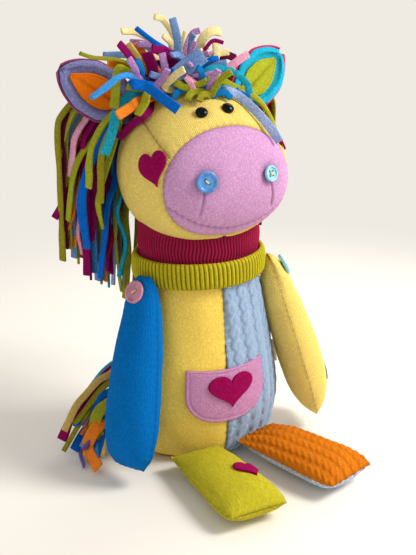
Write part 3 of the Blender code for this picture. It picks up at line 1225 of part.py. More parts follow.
AZURE_PLASTIC = finish("azure button plastic", (0.04, 0.25, 0.55), 0.25)
SKY_PLASTIC = finish("sky blue button plastic", (0.15, 0.5, 0.7), 0.25)
PINK_PLASTIC = finish("pink button plastic", (0.65, 0.25, 0.35), 0.25)
CREAM_THREAD = finish("cream thread", (0.75, 0.68, 0.42))
NAVY = finish("navy felt", (0.02, 0.05, 0.22))
WHITE_TAPE = finish("white label tape", (0.75, 0.75, 0.74))

torso_panels, torso_base, torso_stuffing = build_torso()
collar, neck_stuffing = build_neck()[1:]
muzzle, chin, gusset, head_sides, head_stuffing = build_head()
face = build_face(gusset, head_stuffing)
ears = [build_ear(side) for side in (-1, 1)]
right_arm = build_arm(-1, torso_panels[0], torso_stuffing)
left_arm = build_arm(1, torso_panels[1], torso_stuffing)
right_leg = build_leg(-1)
left_leg = build_leg(1)
mane = [build_mane_locks(-1), build_mane_locks(1), build_crown(), build_forelock()]
tail = build_tail()
build_pocket()
build_label()
leg_heart = applique("right_leg_heart", right_leg[0], LEG_HEART_TURN, LEG_HEART_SWEEP, heart_outline,
                     (LEG_HEART_WIDTH, LEG_HEART_HEIGHT), LEG_HEART_SPIN, SEAM + APPLIQUE, APPLIQUE, MAGENTA)
arm_patch = applique("left_arm_patch", left_arm[0], ARM_PATCH_TURN, ARM_PATCH_SWEEP, heart_outline,
                     (ARM_PATCH_WIDTH, ARM_PATCH_HEIGHT), ARM_PATCH_SPIN, 0.5 * SEAM + APPLIQUE, APPLIQUE, NAVY)
ride(leg_heart, right_leg[1])
ride(arm_patch, left_arm[1])
tail_root = torso_surface(np.array(math.pi), np.array(0.5 * (TAIL_BOTTOM + TAIL_TOP) / TORSO_HEIGHT))
pivot("tail_pivot", tail_root, [tail])
head_holder = pivot("head_nod_pivot", (0.0, 0.0, NECK_NOD_HEIGHT),
                    [muzzle, chin, gusset, *head_sides, head_stuffing, *face, *ears, *mane])
pivot("neck_turn_pivot", (0.0, 0.0, NECK_TURN_HEIGHT), [collar, neck_stuffing, head_holder])
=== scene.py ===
"""Looks of the patchwork plush horse: sewn knit and felt panels, button joints and a felt-strip mane and tail.

The horse faces -Y with its own left at +X and sits on the plane z = 0. Lengths are in metres.
"""

import logging
from dataclasses import dataclass
from enum import Enum
from math import acos, cos, pi, radians, sin, tan
from typing import Callable, Sequence

import bpy
import numpy as np
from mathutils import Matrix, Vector


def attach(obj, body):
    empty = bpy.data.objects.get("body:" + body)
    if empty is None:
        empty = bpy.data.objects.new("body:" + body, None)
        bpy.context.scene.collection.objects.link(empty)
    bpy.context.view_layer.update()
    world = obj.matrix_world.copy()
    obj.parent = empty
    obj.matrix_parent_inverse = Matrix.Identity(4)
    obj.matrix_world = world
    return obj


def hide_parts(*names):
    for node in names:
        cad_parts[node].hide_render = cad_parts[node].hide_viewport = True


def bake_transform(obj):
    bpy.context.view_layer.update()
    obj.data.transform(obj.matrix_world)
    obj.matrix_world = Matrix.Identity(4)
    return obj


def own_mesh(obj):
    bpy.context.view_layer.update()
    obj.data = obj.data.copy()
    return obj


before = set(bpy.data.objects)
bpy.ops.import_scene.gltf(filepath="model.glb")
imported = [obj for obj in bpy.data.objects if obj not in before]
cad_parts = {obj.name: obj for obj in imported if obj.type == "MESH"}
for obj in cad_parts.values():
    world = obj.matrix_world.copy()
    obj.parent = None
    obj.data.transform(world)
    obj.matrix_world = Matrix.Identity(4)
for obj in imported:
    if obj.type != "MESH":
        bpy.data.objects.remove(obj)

LOG = logging.getLogger("plush_horse")
MM = 0.001
UP = np.array((0.0, 0.0, 1.0))
PARAMETER_STEP = 0.002
Array = np.ndarray
Surface = Callable[[Array, Array], Array]
Colour = tuple[float, float, float]


class Side(Enum):
    """The horse's own two sides, with the sign of their x coordinate."""

    RIGHT = -1
    LEFT = 1

    @property
    def word(self) -> str:
        """Word that starts the names of the parts on this side."""
        return self.name.lower()


def srgb(red: float, green: float, blue: float) -> Colour:
    """Changes a colour from 8-bit display values to linear values.

    Args:
        red: Red from 0 to 255.
        green: Green from 0 to 255.
        blue: Blue from 0 to 255.

    Returns:
        The linear colour.
    """
    shares = np.array((red, green, blue)) / 255.0
    linear = np.where(shares <= 0.04045, shares / 12.92, ((shares + 0.055) / 1.055) ** 2.4)
    return tuple(float(value) for value in linear)


def follow(rows: Sequence[tuple[float, float]], share: Array) -> Array:
    """Reads a table of (share, value) rows by a monotone cubic curve.

    Args:
        rows: The table's rows, in rising order of share.
        share: Where to read it.

    Returns:
        The value at each share.
    """
    known = np.array([row[0] for row in rows])
    value = np.array([row[1] for row in rows])
    gap = np.diff(known)
    rate = np.diff(value) / gap
    slope = np.concatenate(([rate[0]], np.zeros(len(rate) - 1), [rate[-1]]))
    first = 2.0 * gap[1:] + gap[:-1]
    second = gap[1:] + 2.0 * gap[:-1]
    same = rate[:-1] * rate[1:] > 0.0
    safe = np.where(same, rate[:-1], 1.0), np.where(same, rate[1:], 1.0)
    slope[1:-1] = np.where(same, (first + second) / (first / safe[0] + second / safe[1]), 0.0)
    share = np.clip(share, known[0], known[-1])
    k = np.clip(np.searchsorted(known, share, side="right") - 1, 0, len(gap) - 1)
    t = (share - known[k]) / gap[k]
    start = (2.0 * t**3 - 3.0 * t**2 + 1.0) * value[k] + (t**3 - 2.0 * t**2 + t) * gap[k] * slope[k]
    end = (3.0 * t**2 - 2.0 * t**3) * value[k + 1] + (t**3 - t**2) * gap[k] * slope[k + 1]
    return start + end


def unit(vector: Array) -> Array:
    """Brings a vector, or each of an array of them, to length one.

    Args:
        vector: The vectors, along the last axis.

    Returns:
        The vectors at length one.
    """
    vector = np.asarray(vector, dtype=float)
    return vector / np.maximum(np.linalg.norm(vector, axis=-1, keepdims=True), 1e-12)


def join(*parts: Array) -> Array:
    """Brings coordinates given as separate arrays to one array of points.

    Args:
        parts: Arrays that broadcast together.

    Returns:
        The points, with their coordinates along the last axis.
    """
    return np.stack(np.broadcast_arrays(*parts), axis=-1)


def lift(surface: Surface, turn: Array, step: Array, height: Array) -> Array:
    """Moves points of a surface out along its normal.

    The normal is the cross product of the surface's slopes along its two parameters.

    Args:
        surface: Function of two parameters.
        turn: First parameter.
        step: Second parameter.
        height: Distance out, in where negative.

    Returns:
        The moved points.
    """
    across = surface(turn + PARAMETER_STEP, step) - surface(turn - PARAMETER_STEP, step)
    along = surface(turn, step + PARAMETER_STEP) - surface(turn, step - PARAMETER_STEP)
    return surface(turn, step) + unit(np.cross(across, along)) * np.asarray(height)[..., None]


def stand(surface: Surface, turn: float, step: float, height: float = 0.0) -> tuple[Array, Array]:
    """Finds a point over a surface and the way out of the surface there.

    Args:
        surface: Function of two parameters.
        turn: First parameter.
        step: Second parameter.
        height: How far over the surface the point stands.

    Returns:
        The point and the direction.
    """
    place = np.array(turn), np.array(step)
    point, over = (lift(surface, *place, np.array(far)) for far in (height, height + MM))
    return point, unit(over - point)


def ripple(points: Array, size: float, seed: int) -> Array:
    """Gives a smooth lumpy value to points: the mean of eight sine waves in seeded directions.

    Args:
        points: Points in metres.
        size: Distance from crest to crest in metres.
        seed: Number that picks the directions.

    Returns:
        A value from -1 to 1 at each point.
    """
    source = np.random.default_rng(seed)
    directions = unit(source.normal(size=(8, 3))) * source.uniform(0.7, 1.4, (8, 1))
    phases = source.uniform(0.0, 2.0 * pi, 8)
    waves = np.sin(points @ directions.T * (2.0 * pi / size) + phases)
    return waves.mean(axis=-1) * 1.6


def lengths(points: Array) -> tuple[Array, Array]:
    """Measures a grid of points along its rows and its columns.

    Args:
        points: Points by row and column.

    Returns:
        Distance along each row from its first column, and along each column from its first row.
    """
    along_row = np.linalg.norm(np.diff(points, axis=1), axis=-1)
    along_column = np.linalg.norm(np.diff(points, axis=0), axis=-1)
    across = np.concatenate((np.zeros((points.shape[0], 1)), np.cumsum(along_row, axis=1)), axis=1)
    down = np.concatenate((np.zeros((1, points.shape[1])), np.cumsum(along_column, axis=0)), axis=0)
    return across, down


@dataclass(frozen=True)
class SeamEdges:
    """Which edges of a grid are sewn to a neighbour, and how the cloth dips there."""

    first_column: bool = True
    last_column: bool = True
    first_row: bool = True
    last_row: bool = True
    depth: float = 1.3 * MM
    reach: float = 2.6 * MM
    pucker: float = 0.28 * MM
    pitch: float = 6.5 * MM

    def dip(self, points: Array) -> Array:
        """Height of the cloth beside its seams.

        It is a groove, falling off as the exponential of the distance to the nearest seam, and sine puckers
        along the seam that fade twice as slowly.

        Args:
            points: Points of the plain surface by row and column.

        Returns:
            The height at each point, below zero in the groove.
        """
        across, down = lengths(points)
        far = np.full(across.shape, 1.0)
        run = np.zeros(across.shape)
        edges = ((self.first_column, across, down), (self.last_column, across[:, -1:] - across, down),
                 (self.first_row, down, across), (self.last_row, down[-1:, :] - down, across))
        for sewn, gap, travel in edges:
            if sewn:
                nearer = gap < far
                run = np.where(nearer, travel, run)
                far = np.where(nearer, gap, far)
        groove = -self.depth * np.exp(-far / self.reach)
        return groove + self.pucker * np.sin(2.0 * pi * run / self.pitch) * np.exp(-far / (2.0 * self.reach))


def operator_pair(operation: str) -> tuple[Callable, Callable]:
    """Makes a socket's operator and its reflected form, each of which adds one Math node.

    Args:
        operation: The node's operation.

    Returns:
        The operator and its reflected form.
    """
    def forward(self: "Socket", other: "Socket | float") -> "Socket":
        """This value and then the other."""
        return self.graph.math(operation, self, other)

    def reflected(self: "Socket", other: float) -> "Socket":
        """The other value and then this one."""
        return self.graph.math(operation, other, self)

    return forward, reflected


class Socket:
    """A value in a shader graph that can be used in sums like a number."""

    def __init__(self, graph: "Graph", port: bpy.types.NodeSocket) -> None:
        """Keeps the graph and the node's output."""
        self.graph = graph
        self.port = port

    __add__, __radd__ = operator_pair("ADD")
    __sub__, __rsub__ = operator_pair("SUBTRACT")
    __mul__, __rmul__ = operator_pair("MULTIPLY")
    __truediv__, __rtruediv__ = operator_pair("DIVIDE")
    __pow__, __rpow__ = operator_pair("POWER")


Value = Socket | float | tuple


class Graph:
    """Node graph of one material or of the world, built from calls that return sockets."""

    def __init__(self, owner: bpy.types.Material | bpy.types.World, shader: str = "Principled BSDF") -> None:
        """Starts from the nodes that the owner has by itself.

        Args:
            owner: The material or the world.
            shader: Name of its shader node.
        """
        owner.use_nodes = True
        self.owner = owner
        self.tree = owner.node_tree
        self.shader = self.tree.nodes[shader]

    def feed(self, target: bpy.types.NodeSocket, value: Value) -> None:
        """Links a socket to an input, or sets the input to a constant.

        Args:
            target: The input.
            value: Socket or constant.
        """
        if isinstance(value, Socket):
            self.tree.links.new(value.port, target)
        elif target.type == "RGBA" and len(value) == 3:
            target.default_value = (*value, 1.0)
        else:
            target.default_value = value

    def node(self, kind: str, settings: dict | None = None, inputs: dict | None = None,
             output: int | str = 0) -> Socket:
        """Adds a node of any kind.

        Args:
            kind: The node's type name.
            settings: Its properties.
            inputs: Constants or sockets by input name or number.
            output: Name or number of the output to return.

        Returns:
            The chosen output.
        """
        made = self.tree.nodes.new(kind)
        for key, value in (settings or {}).items():
            setattr(made, key, value)
        for key, value in (inputs or {}).items():
            self.feed(made.inputs[key], value)
        return Socket(self, made.outputs[output])

    def math(self, operation: str, *values: "Socket | float") -> Socket:
        """Adds a Math node on the values and gives its result."""
        return self.node("ShaderNodeMath", {"operation": operation}, dict(enumerate(values)))

    def vector(self, operation: str, *values: Value) -> Socket:
        """Adds a Vector Math node on the values and gives the resulting vector."""
        return self.node("ShaderNodeVectorMath", {"operation": operation}, dict(enumerate(values)))

    def mix(self, share: "Socket | float", first: Value, second: Value) -> Socket:
        """Mixes two colours by the share of the second."""
        return self.node("ShaderNodeMix", {"data_type": "RGBA"}, {0: share, 6: first, 7: second}, 2)

    def span(self, value: Socket, low: float, high: float, start: float = 0.0, end: float = 1.0) -> Socket:
        """Maps a value from low and high to start and end by a smooth step, kept inside."""
        return self.node("ShaderNodeMapRange", {"interpolation_type": "SMOOTHSTEP"},
                         {0: value, 1: low, 2: high, 3: start, 4: end})

    def place(self) -> Socket:
        """Object coordinates in metres."""
        return self.node("ShaderNodeTexCoord", output="Object")

    def flat(self) -> tuple[Socket, Socket]:
        """The piece's own coordinates along the cloth, in metres.

        Returns:
            The coordinates across and along.
        """
        made = self.node("ShaderNodeUVMap", {"uv_map": "cloth"})
        parts = self.tree.nodes.new("ShaderNodeSeparateXYZ")
        self.tree.links.new(made.port, parts.inputs[0])
        return Socket(self, parts.outputs[0]), Socket(self, parts.outputs[1])

    def crease(self) -> Socket:
        """Share of painted shade, from 0 to 1 by how deep the cloth lies in a seam, kept with the piece's
        vertices.
        """
        return self.node("ShaderNodeAttribute", {"attribute_name": "crease"}, output="Fac")

    def noise(self, where: Socket, scale: float, detail: float = 3.0, rough: float = 0.6) -> Socket:
        """Noise of about 0.5: lumps to the metre, octaves, and the share kept from octave to octave."""
        return self.node("ShaderNodeTexNoise", None,
                         {"Vector": where, "Scale": scale, "Detail": detail, "Roughness": rough})

    def fibres(self, where: Socket, scale: float) -> Socket:
        """Lays short hairs in three directions: the lightest of three noises, each drawn out along one axis.

        Args:
            where: Coordinates.
            scale: Hairs to the metre across.

        Returns:
            A value that is high on the hairs.
        """
        layers = []
        for turn in ((0.3, 0.2, 0.4), (1.4, 0.9, 1.9), (2.5, 1.6, 2.9)):
            turned = self.node("ShaderNodeMapping", None,
                               {"Vector": where, "Rotation": turn, "Scale": (1.0, 0.14, 0.5)})
            layers.append(self.noise(turned, scale, 2.0))
        return self.math("MAXIMUM", self.math("MAXIMUM", layers[0], layers[1]), layers[2])

    def bump(self, height: Socket, distance: float, strength: float = 1.0, under: Socket | None = None) -> Socket:
        """Adds a bump.

        Args:
            height: Height from 0 to 1.
            distance: What a height of one stands for, in metres.
            strength: Share of the effect.
            under: Normal that it adds to.

        Returns:
            The bumped normal.
        """
        inputs = {"Strength": strength, "Distance": distance, "Height": height}
        if under is not None:
            inputs["Normal"] = under
        return self.node("ShaderNodeBump", None, inputs)

    def finish(self, **sockets: Value) -> bpy.types.Material | bpy.types.World:
        """Feeds the shader and returns the graph's owner.

        Args:
            sockets: Values by input name, with an underscore for a space.

        Returns:
            The material or the world.
        """
        for key, value in sockets.items():
            self.feed(self.shader.inputs[key.replace("_", " ")], value)
        return self.owner


def shade(colour: Colour, factor: float) -> Colour:
    """Makes a colour darker or lighter.

    Args:
        colour: The colour.
        factor: What each part is multiplied by.

    Returns:
        The new colour, kept to at most one.
    """
    return tuple(min(1.0, part * factor) for part in colour)


@dataclass(frozen=True)
class Felt:
    """Felted wool: fine crossing hairs, soft blotches of colour and a pale nap at glancing angles."""

    colour: Colour
    fleck: Colour | None = None
    fleck_share: float = 0.45
    fleck_size: float = 1.6 * MM
    relief: float = 0.35 * MM
    nap: float = 0.1
    rib_shade: float | None = None

    def colour_at(self, graph: Graph, where: Socket) -> Socket:
        """Colour of the cloth: hairs and blotches over the base colour, flecked where it is heathered.

        Ribs get painted shade in their gaps, where the sine of the coordinate across is near zero, and seams and
        folds get painted shade throughout.

        Args:
            graph: The material's graph.
            where: Coordinates.

        Returns:
            The colour.
        """
        hairs = graph.fibres(where, 900.0)
        blotch = graph.noise(where, 45.0, 3.0)
        base = graph.mix(graph.span(hairs, 0.50, 0.74), shade(self.colour, 0.82), shade(self.colour, 1.15))
        base = graph.mix(graph.span(blotch, 0.35, 0.65, 0.0, 0.35), base, shade(self.colour, 0.86))
        if self.fleck is not None:
            spots = graph.noise(where, 1.0 / self.fleck_size, 2.0, 0.7)
            base = graph.mix(graph.span(spots, 0.46, 0.66, 0.0, self.fleck_share * 2.0), base, self.fleck)
        # Painted shade in the gaps between the ribs
        if self.rib_shade is not None:
            crest = graph.math("ABSOLUTE", graph.math("SINE", graph.flat()[0] * pi))
            base = graph.mix(graph.span(crest, 0.15, 0.8), shade(self.colour, self.rib_shade), base)
        # Painted shade in seams and folds, by the share kept with the vertices
        return graph.mix(graph.crease(), base, shade(self.colour, 0.36))

    def material(self, name: str) -> bpy.types.Material:
        """Builds the material.

        Args:
            name: Its name.

        Returns:
            The material.
        """
        graph = Graph(bpy.data.materials.new(name))
        where = graph.place()
        colour = self.colour_at(graph, where)
        height = graph.fibres(where, 1100.0) + graph.noise(where, 420.0, 3.0) * 0.8
        normal = graph.bump(height, self.relief)
        return graph.finish(Base_Color=colour, Normal=normal, Roughness=0.95, Sheen_Weight=self.nap,
                            Sheen_Roughness=0.45, Sheen_Tint=shade(self.colour, 1.3), Specular_IOR_Level=0.08)


@dataclass(frozen=True)
class Stockinette:
    """Plain knit: columns of V stitches, each a pair of slanted loops of yarn."""

    colour: Colour
    width: float = 3.1 * MM
    height: float = 2.5 * MM
    slant: float = 0.75
    relief: float = 0.9 * MM
    gap_shade: float = 0.52
    nap: float = 0.1

    def stitches(self, graph: Graph) -> Socket:
        """Height of the yarn over the cloth's own coordinates.

        Args:
            graph: The material's graph.

        Returns:
            A value that is one on the crown of the yarn and zero in the gaps.
        """
        across, along = graph.flat()
        wobble = graph.noise(graph.place(), 160.0, 2.0) - 0.5
        column = graph.math("FRACT", (across + wobble * (0.5 * MM)) / self.width)
        aside = graph.math("ABSOLUTE", column * 2.0 - 1.0)
        step = graph.math("FRACT", (along + wobble * (0.5 * MM)) / self.height + aside * self.slant)
        loop = graph.math("SINE", step * pi)
        strand = graph.math("SINE", graph.math("ABSOLUTE", aside) * pi)
        return graph.math("MULTIPLY", loop ** 0.7, graph.math("MAXIMUM", strand, 0.0) ** 0.5)

    def material(self, name: str) -> bpy.types.Material:
        """Builds the material.

        Args:
            name: Its name.

        Returns:
            The material.
        """
        graph = Graph(bpy.data.materials.new(name))
        where = graph.place()
        yarn = self.stitches(graph)
        hairs = graph.fibres(where, 1000.0)
        worn = graph.noise(where, 38.0, 3.0)
        body = graph.mix(graph.span(hairs, 0.50, 0.74), shade(self.colour, 0.86), shade(self.colour, 1.16))
        # Painted shade in the gaps between the loops of yarn
        colour = graph.mix(graph.span(yarn, 0.1, 0.75), shade(self.colour, self.gap_shade), body)
        colour = graph.mix(graph.span(worn, 0.42, 0.66, 0.0, 0.5), colour, body)
        # Painted shade in seams
        colour = graph.mix(graph.crease(), colour, shade(self.colour, 0.4))
        normal = graph.bump(yarn + hairs * 0.35, self.relief, 0.9)
        return graph.finish(Base_Color=colour, Normal=normal, Roughness=0.95, Sheen_Weight=self.nap,
                            Sheen_Roughness=0.45, Sheen_Tint=shade(self.colour, 1.3), Specular_IOR_Level=0.08)


@dataclass(frozen=True)
class Plastic:
    """Moulded plastic: faint swirls of a second shade, small scratches and a soft coat of polish."""

    colour: Colour
    swirl: Colour | None = None
    roughness: float = 0.22
    coat: float = 0.4
    specular: float = 0.5

    def material(self, name: str) -> bpy.types.Material:
        """Builds the material.

        Args:
            name: Its name.

        Returns:
            The material.
        """
        graph = Graph(bpy.data.materials.new(name))
        where = graph.place()
        flow = graph.noise(where, 120.0, 4.0)
        wear = graph.noise(where, 900.0, 4.0)
        second = self.swirl or shade(self.colour, 0.8)
        colour = graph.mix(graph.span(flow, 0.4, 0.62), self.colour, second)
        rough = graph.span(wear, 0.4, 0.7, self.roughness * 0.8, self.roughness * 1.6)
        normal = graph.bump(wear, 0.03 * MM)
        return graph.finish(Base_Color=colour, Roughness=rough, Normal=normal, Coat_Weight=self.coat,
                            Coat_Roughness=0.12, Specular_IOR_Level=self.specular)


@dataclass(frozen=True)
class Fibre:
    """Loose polyester filling: pale tangled hairs."""

    colour: Colour = (0.82, 0.82, 0.79)

    def material(self, name: str) -> bpy.types.Material:
        """Builds the material.

        Args:
            name: Its name.

        Returns:
            The material.
        """
        graph = Graph(bpy.data.materials.new(name))
        where = graph.place()
        tangle = graph.fibres(where, 500.0)
        clump = graph.noise(where, 90.0, 4.0)
        colour = graph.mix(graph.span(tangle, 0.45, 0.75), shade(self.colour, 0.8), self.colour)
        normal = graph.bump(tangle + clump * 2.0, 1.2 * MM)
        return graph.finish(Base_Color=colour, Normal=normal, Roughness=1.0, Sheen_Weight=0.4)


class Palette:
    """The horse's finishes, each built the first time that it is used."""

    SPECS = {
        "yellow_knit": Stockinette(srgb(251, 219, 118), gap_shade=0.84, relief=0.5 * MM),
        "yellow_felt": Felt(srgb(248, 211, 94), srgb(252, 222, 126), 0.1),
        "blue_cable": Stockinette(srgb(180, 206, 240), width=2.6 * MM, height=2.3 * MM, gap_shade=0.8),
        "mauve_felt": Felt(srgb(168, 142, 164), fleck=srgb(196, 172, 190)),
        "lilac_felt": Felt(srgb(204, 150, 196), srgb(222, 180, 216), 0.22),
        "pocket_felt": Felt(srgb(194, 134, 176), srgb(214, 162, 198), 0.2),
        "lime_felt": Felt(srgb(188, 176, 38), srgb(202, 194, 66), 0.15),
        "lime_rib": Felt(srgb(190, 176, 34), relief=0.3 * MM, rib_shade=0.36),
        "burgundy_rib": Felt(srgb(158, 28, 68), relief=0.3 * MM, rib_shade=0.36),
        "orange_cable": Stockinette(srgb(255, 140, 26), width=2.4 * MM, height=2.2 * MM, gap_shade=0.86),
        "heather_felt": Felt(srgb(168, 180, 206), srgb(226, 232, 240), 0.5),
        "royal_felt": Felt(srgb(0, 106, 184), srgb(0, 124, 200), 0.2),
        "magenta_felt": Felt(srgb(146, 2, 76), srgb(176, 20, 104), 0.2),
        "ear_magenta": Felt(srgb(140, 60, 104), srgb(160, 96, 136), 0.3),
        "ear_violet": Felt(srgb(122, 124, 178), srgb(150, 156, 200), 0.35),
        "ear_crimson": Felt(srgb(206, 46, 104)),
        "turquoise_felt": Felt(srgb(26, 168, 204), srgb(70, 194, 220), 0.2),
        "orange_felt": Felt(srgb(255, 126, 20)),
        "ear_lime": Felt(srgb(166, 170, 36), srgb(190, 194, 70), 0.2),
        "navy_felt": Felt(srgb(28, 50, 110)),
        "eye_black": Plastic((0.001, 0.001, 0.0012), (0.0015, 0.0015, 0.002), 0.09, 0.0, 0.17),
        "azure_plastic": Plastic(srgb(86, 150, 214), srgb(60, 120, 190)),
        "sky_plastic": Plastic(srgb(150, 212, 232), srgb(120, 196, 220)),
        "pink_plastic": Plastic(srgb(200, 134, 156), srgb(180, 112, 138)),
        "white_plastic": Plastic(srgb(232, 232, 228), roughness=0.4, coat=0.0),
        "cream_thread": Felt(srgb(232, 222, 172), relief=0.2 * MM),
        "white_tape": Felt(srgb(226, 228, 230), relief=0.15 * MM, nap=0.1),
        "stuffing": Fibre(),
        "strip_royal": Felt(srgb(4, 98, 196), srgb(24, 124, 214), 0.2),
        "strip_azure": Felt(srgb(16, 120, 190)),
        "strip_sky": Felt(srgb(52, 140, 214), srgb(90, 170, 228), 0.3),
        "strip_cornflower": Felt(srgb(112, 146, 196), srgb(140, 170, 212), 0.3),
        "strip_denim": Felt(srgb(104, 136, 188), srgb(136, 164, 206), 0.4),
        "strip_periwinkle": Felt(srgb(150, 170, 216), srgb(180, 196, 230), 0.3),
        "strip_turquoise": Felt(srgb(26, 156, 182), srgb(60, 184, 206), 0.3),
        "strip_cream": Felt(srgb(240, 220, 150), srgb(248, 234, 184), 0.3),
        "strip_tan": Felt(srgb(208, 176, 92), srgb(226, 198, 124), 0.3),
        "strip_magenta": Felt(srgb(132, 8, 84), srgb(160, 24, 108), 0.2),
        "strip_burgundy": Felt(srgb(92, 10, 54)),
        "strip_crimson": Felt(srgb(164, 16, 60)),
        "strip_pink": Felt(srgb(236, 160, 190), srgb(246, 190, 212), 0.3),
        "strip_lilac": Felt(srgb(178, 130, 190), srgb(206, 166, 214), 0.35),
        "strip_violet": Felt(srgb(110, 90, 160)),
        "strip_orange": Felt(srgb(246, 132, 34), srgb(250, 156, 70), 0.2),
        "strip_lime": Felt(srgb(158, 160, 34), srgb(184, 186, 66), 0.25),
        "strip_olive": Felt(srgb(140, 134, 30), srgb(166, 160, 50), 0.25),
    }
    made: dict[str, bpy.types.Material] = {}

    @classmethod
    def get(cls, name: str) -> bpy.types.Material:
        """Gives a finish by name.

        Args:
            name: Name of the finish.

        Returns:
            Its material.
        """
        if name not in cls.made:
            cls.made[name] = cls.SPECS[name].material(name)
        return cls.made[name]


def add_mesh(name: str, points: Array, faces: Array, finish: str, cloth: Array | None = None,
             triangles: Array | None = None, crease: Array | None = None) -> bpy.types.Object:
    """Puts a smooth mesh into the scene.

    Args:
        name: Name of the piece.
        points: Its vertices.
        faces: Vertex numbers of its four-sided faces.
        finish: Name of its finish.
        cloth: Coordinates along the cloth at each vertex.
        triangles: Vertex numbers of its three-sided faces, where it has any.
        crease: Share of painted shade at each vertex, from 0 to 1 by how deep the cloth lies in a seam.

    Returns:
        The new object.
    """
    mesh = bpy.data.meshes.new(name)
    extra = np.zeros((0, 3), dtype=int) if triangles is None else triangles
    mesh.from_pydata(points.reshape(-1, 3), [], faces.tolist() + extra.tolist())
    mesh.shade_smooth()
    if cloth is not None:
        corners = np.concatenate((faces.ravel(), extra.ravel()))
        layer = mesh.uv_layers.new(name="cloth")
        layer.data.foreach_set("uv", cloth.reshape(-1, 2)[corners].astype(np.float32).ravel())
    # Share of painted shade in seams and folds, kept as a vertex attribute that the finishes read
    if crease is not None:
        mark = mesh.attributes.new("crease", "FLOAT", "POINT")
        mark.data.foreach_set("value", crease.astype(np.float32).ravel())
    mesh.materials.append(Palette.get(finish))
    made = bpy.data.objects.new(name, mesh)
    bpy.context.scene.collection.objects.link(made)
    LOG.info("%s: %d faces", name, len(faces))
    return made


def grid_faces(rows: int, columns: int, wrap: bool, start: int = 0, flip: bool = False) -> Array:
    """Numbers the four-sided faces of a grid of vertices.

    Args:
        rows: Rows of vertices.
        columns: Columns of vertices.
        wrap: Whether the last column joins the first.
        start: Number of the first vertex.
        flip: Whether the faces look the other way.

    Returns:
        Four vertex numbers to a face.
    """
    index = start + np.arange(rows * columns).reshape(rows, columns)
    if wrap:
        index = np.concatenate((index, index[:, :1]), axis=1)
    quads = np.stack((index[:-1, :-1], index[:-1, 1:], index[1:, 1:], index[1:, :-1]), axis=-1).reshape(-1, 4)
    return quads[:, ::-1] if flip else quads


def strip_faces(first: Array, second: Array, flip: bool = False) -> Array:
    """Joins two equal runs of vertices by faces.

    Args:
        first: Vertex numbers of one run.
        second: Vertex numbers of the other run.
        flip: Whether the faces look the other way.

    Returns:
        Four vertex numbers to a face.
    """
    quads = np.stack((first[:-1], first[1:], second[1:], second[:-1]), axis=-1)
    return quads[:, ::-1] if flip else quads


def shell(name: str, outer: Array, inner: Array, finish: str, wrap: bool = False,
          cloth: Array | None = None, crease: Array | None = None) -> bpy.types.Object:
    """Makes a closed piece of cloth from its outer and inner face.

    The outer grid and the inner grid are joined by a strip of faces round the edge.

    Args:
        name: Name of the piece.
        outer: Outer points by row and column.
        inner: Inner points, in the same order.
        finish: Name of its finish.
        wrap: Whether the last column joins the first.
        cloth: The cloth's own coordinates by row and column; lengths from the middle where it is left out.
        crease: Share of painted shade, from 0 to 1 by how deep the cloth lies in a seam, by row and column.

    Returns:
        The new object.
    """
    rows, columns = outer.shape[:2]
    count = rows * columns
    if cloth is None:
        across, down = lengths(outer)
        cloth = np.stack((across - across[:, columns // 2][:, None], down - down[rows // 2][None, :]), axis=-1)
    cloth = cloth.reshape(-1, 2)
    depth = None if crease is None else np.concatenate((crease.ravel(), crease.ravel()))
    index = np.arange(count).reshape(rows, columns)
    faces = [grid_faces(rows, columns, wrap, 0), grid_faces(rows, columns, wrap, count, True)]
    for row, flip in ((0, True), (-1, False)):
        run = np.append(index[row], index[row, :1]) if wrap else index[row]
        faces.append(strip_faces(run, run + count, flip))
    if not wrap:
        faces.append(strip_faces(index[:, 0], index[:, 0] + count, False))
        faces.append(strip_faces(index[:, -1], index[:, -1] + count, True))
    points = np.concatenate((outer.reshape(-1, 3), inner.reshape(-1, 3)))
    return add_mesh(name, points, np.concatenate(faces)[:, ::-1], finish, np.concatenate((cloth, cloth)),
                    crease=depth)


def put(piece: bpy.types.Object, body: str, *nodes: str, fill: float | None = None) -> bpy.types.Object:
    """Lets a piece ride on a body and stand for its CAD nodes.

    Args:
        piece: The piece.
        body: Body that carries it.
        nodes: CAD nodes that it stands for.
        fill: How full it is, for a stuffed piece; not used.

    Returns:
        The piece.
    """
    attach(piece, body)
    if nodes:
        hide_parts(*nodes)
    return piece


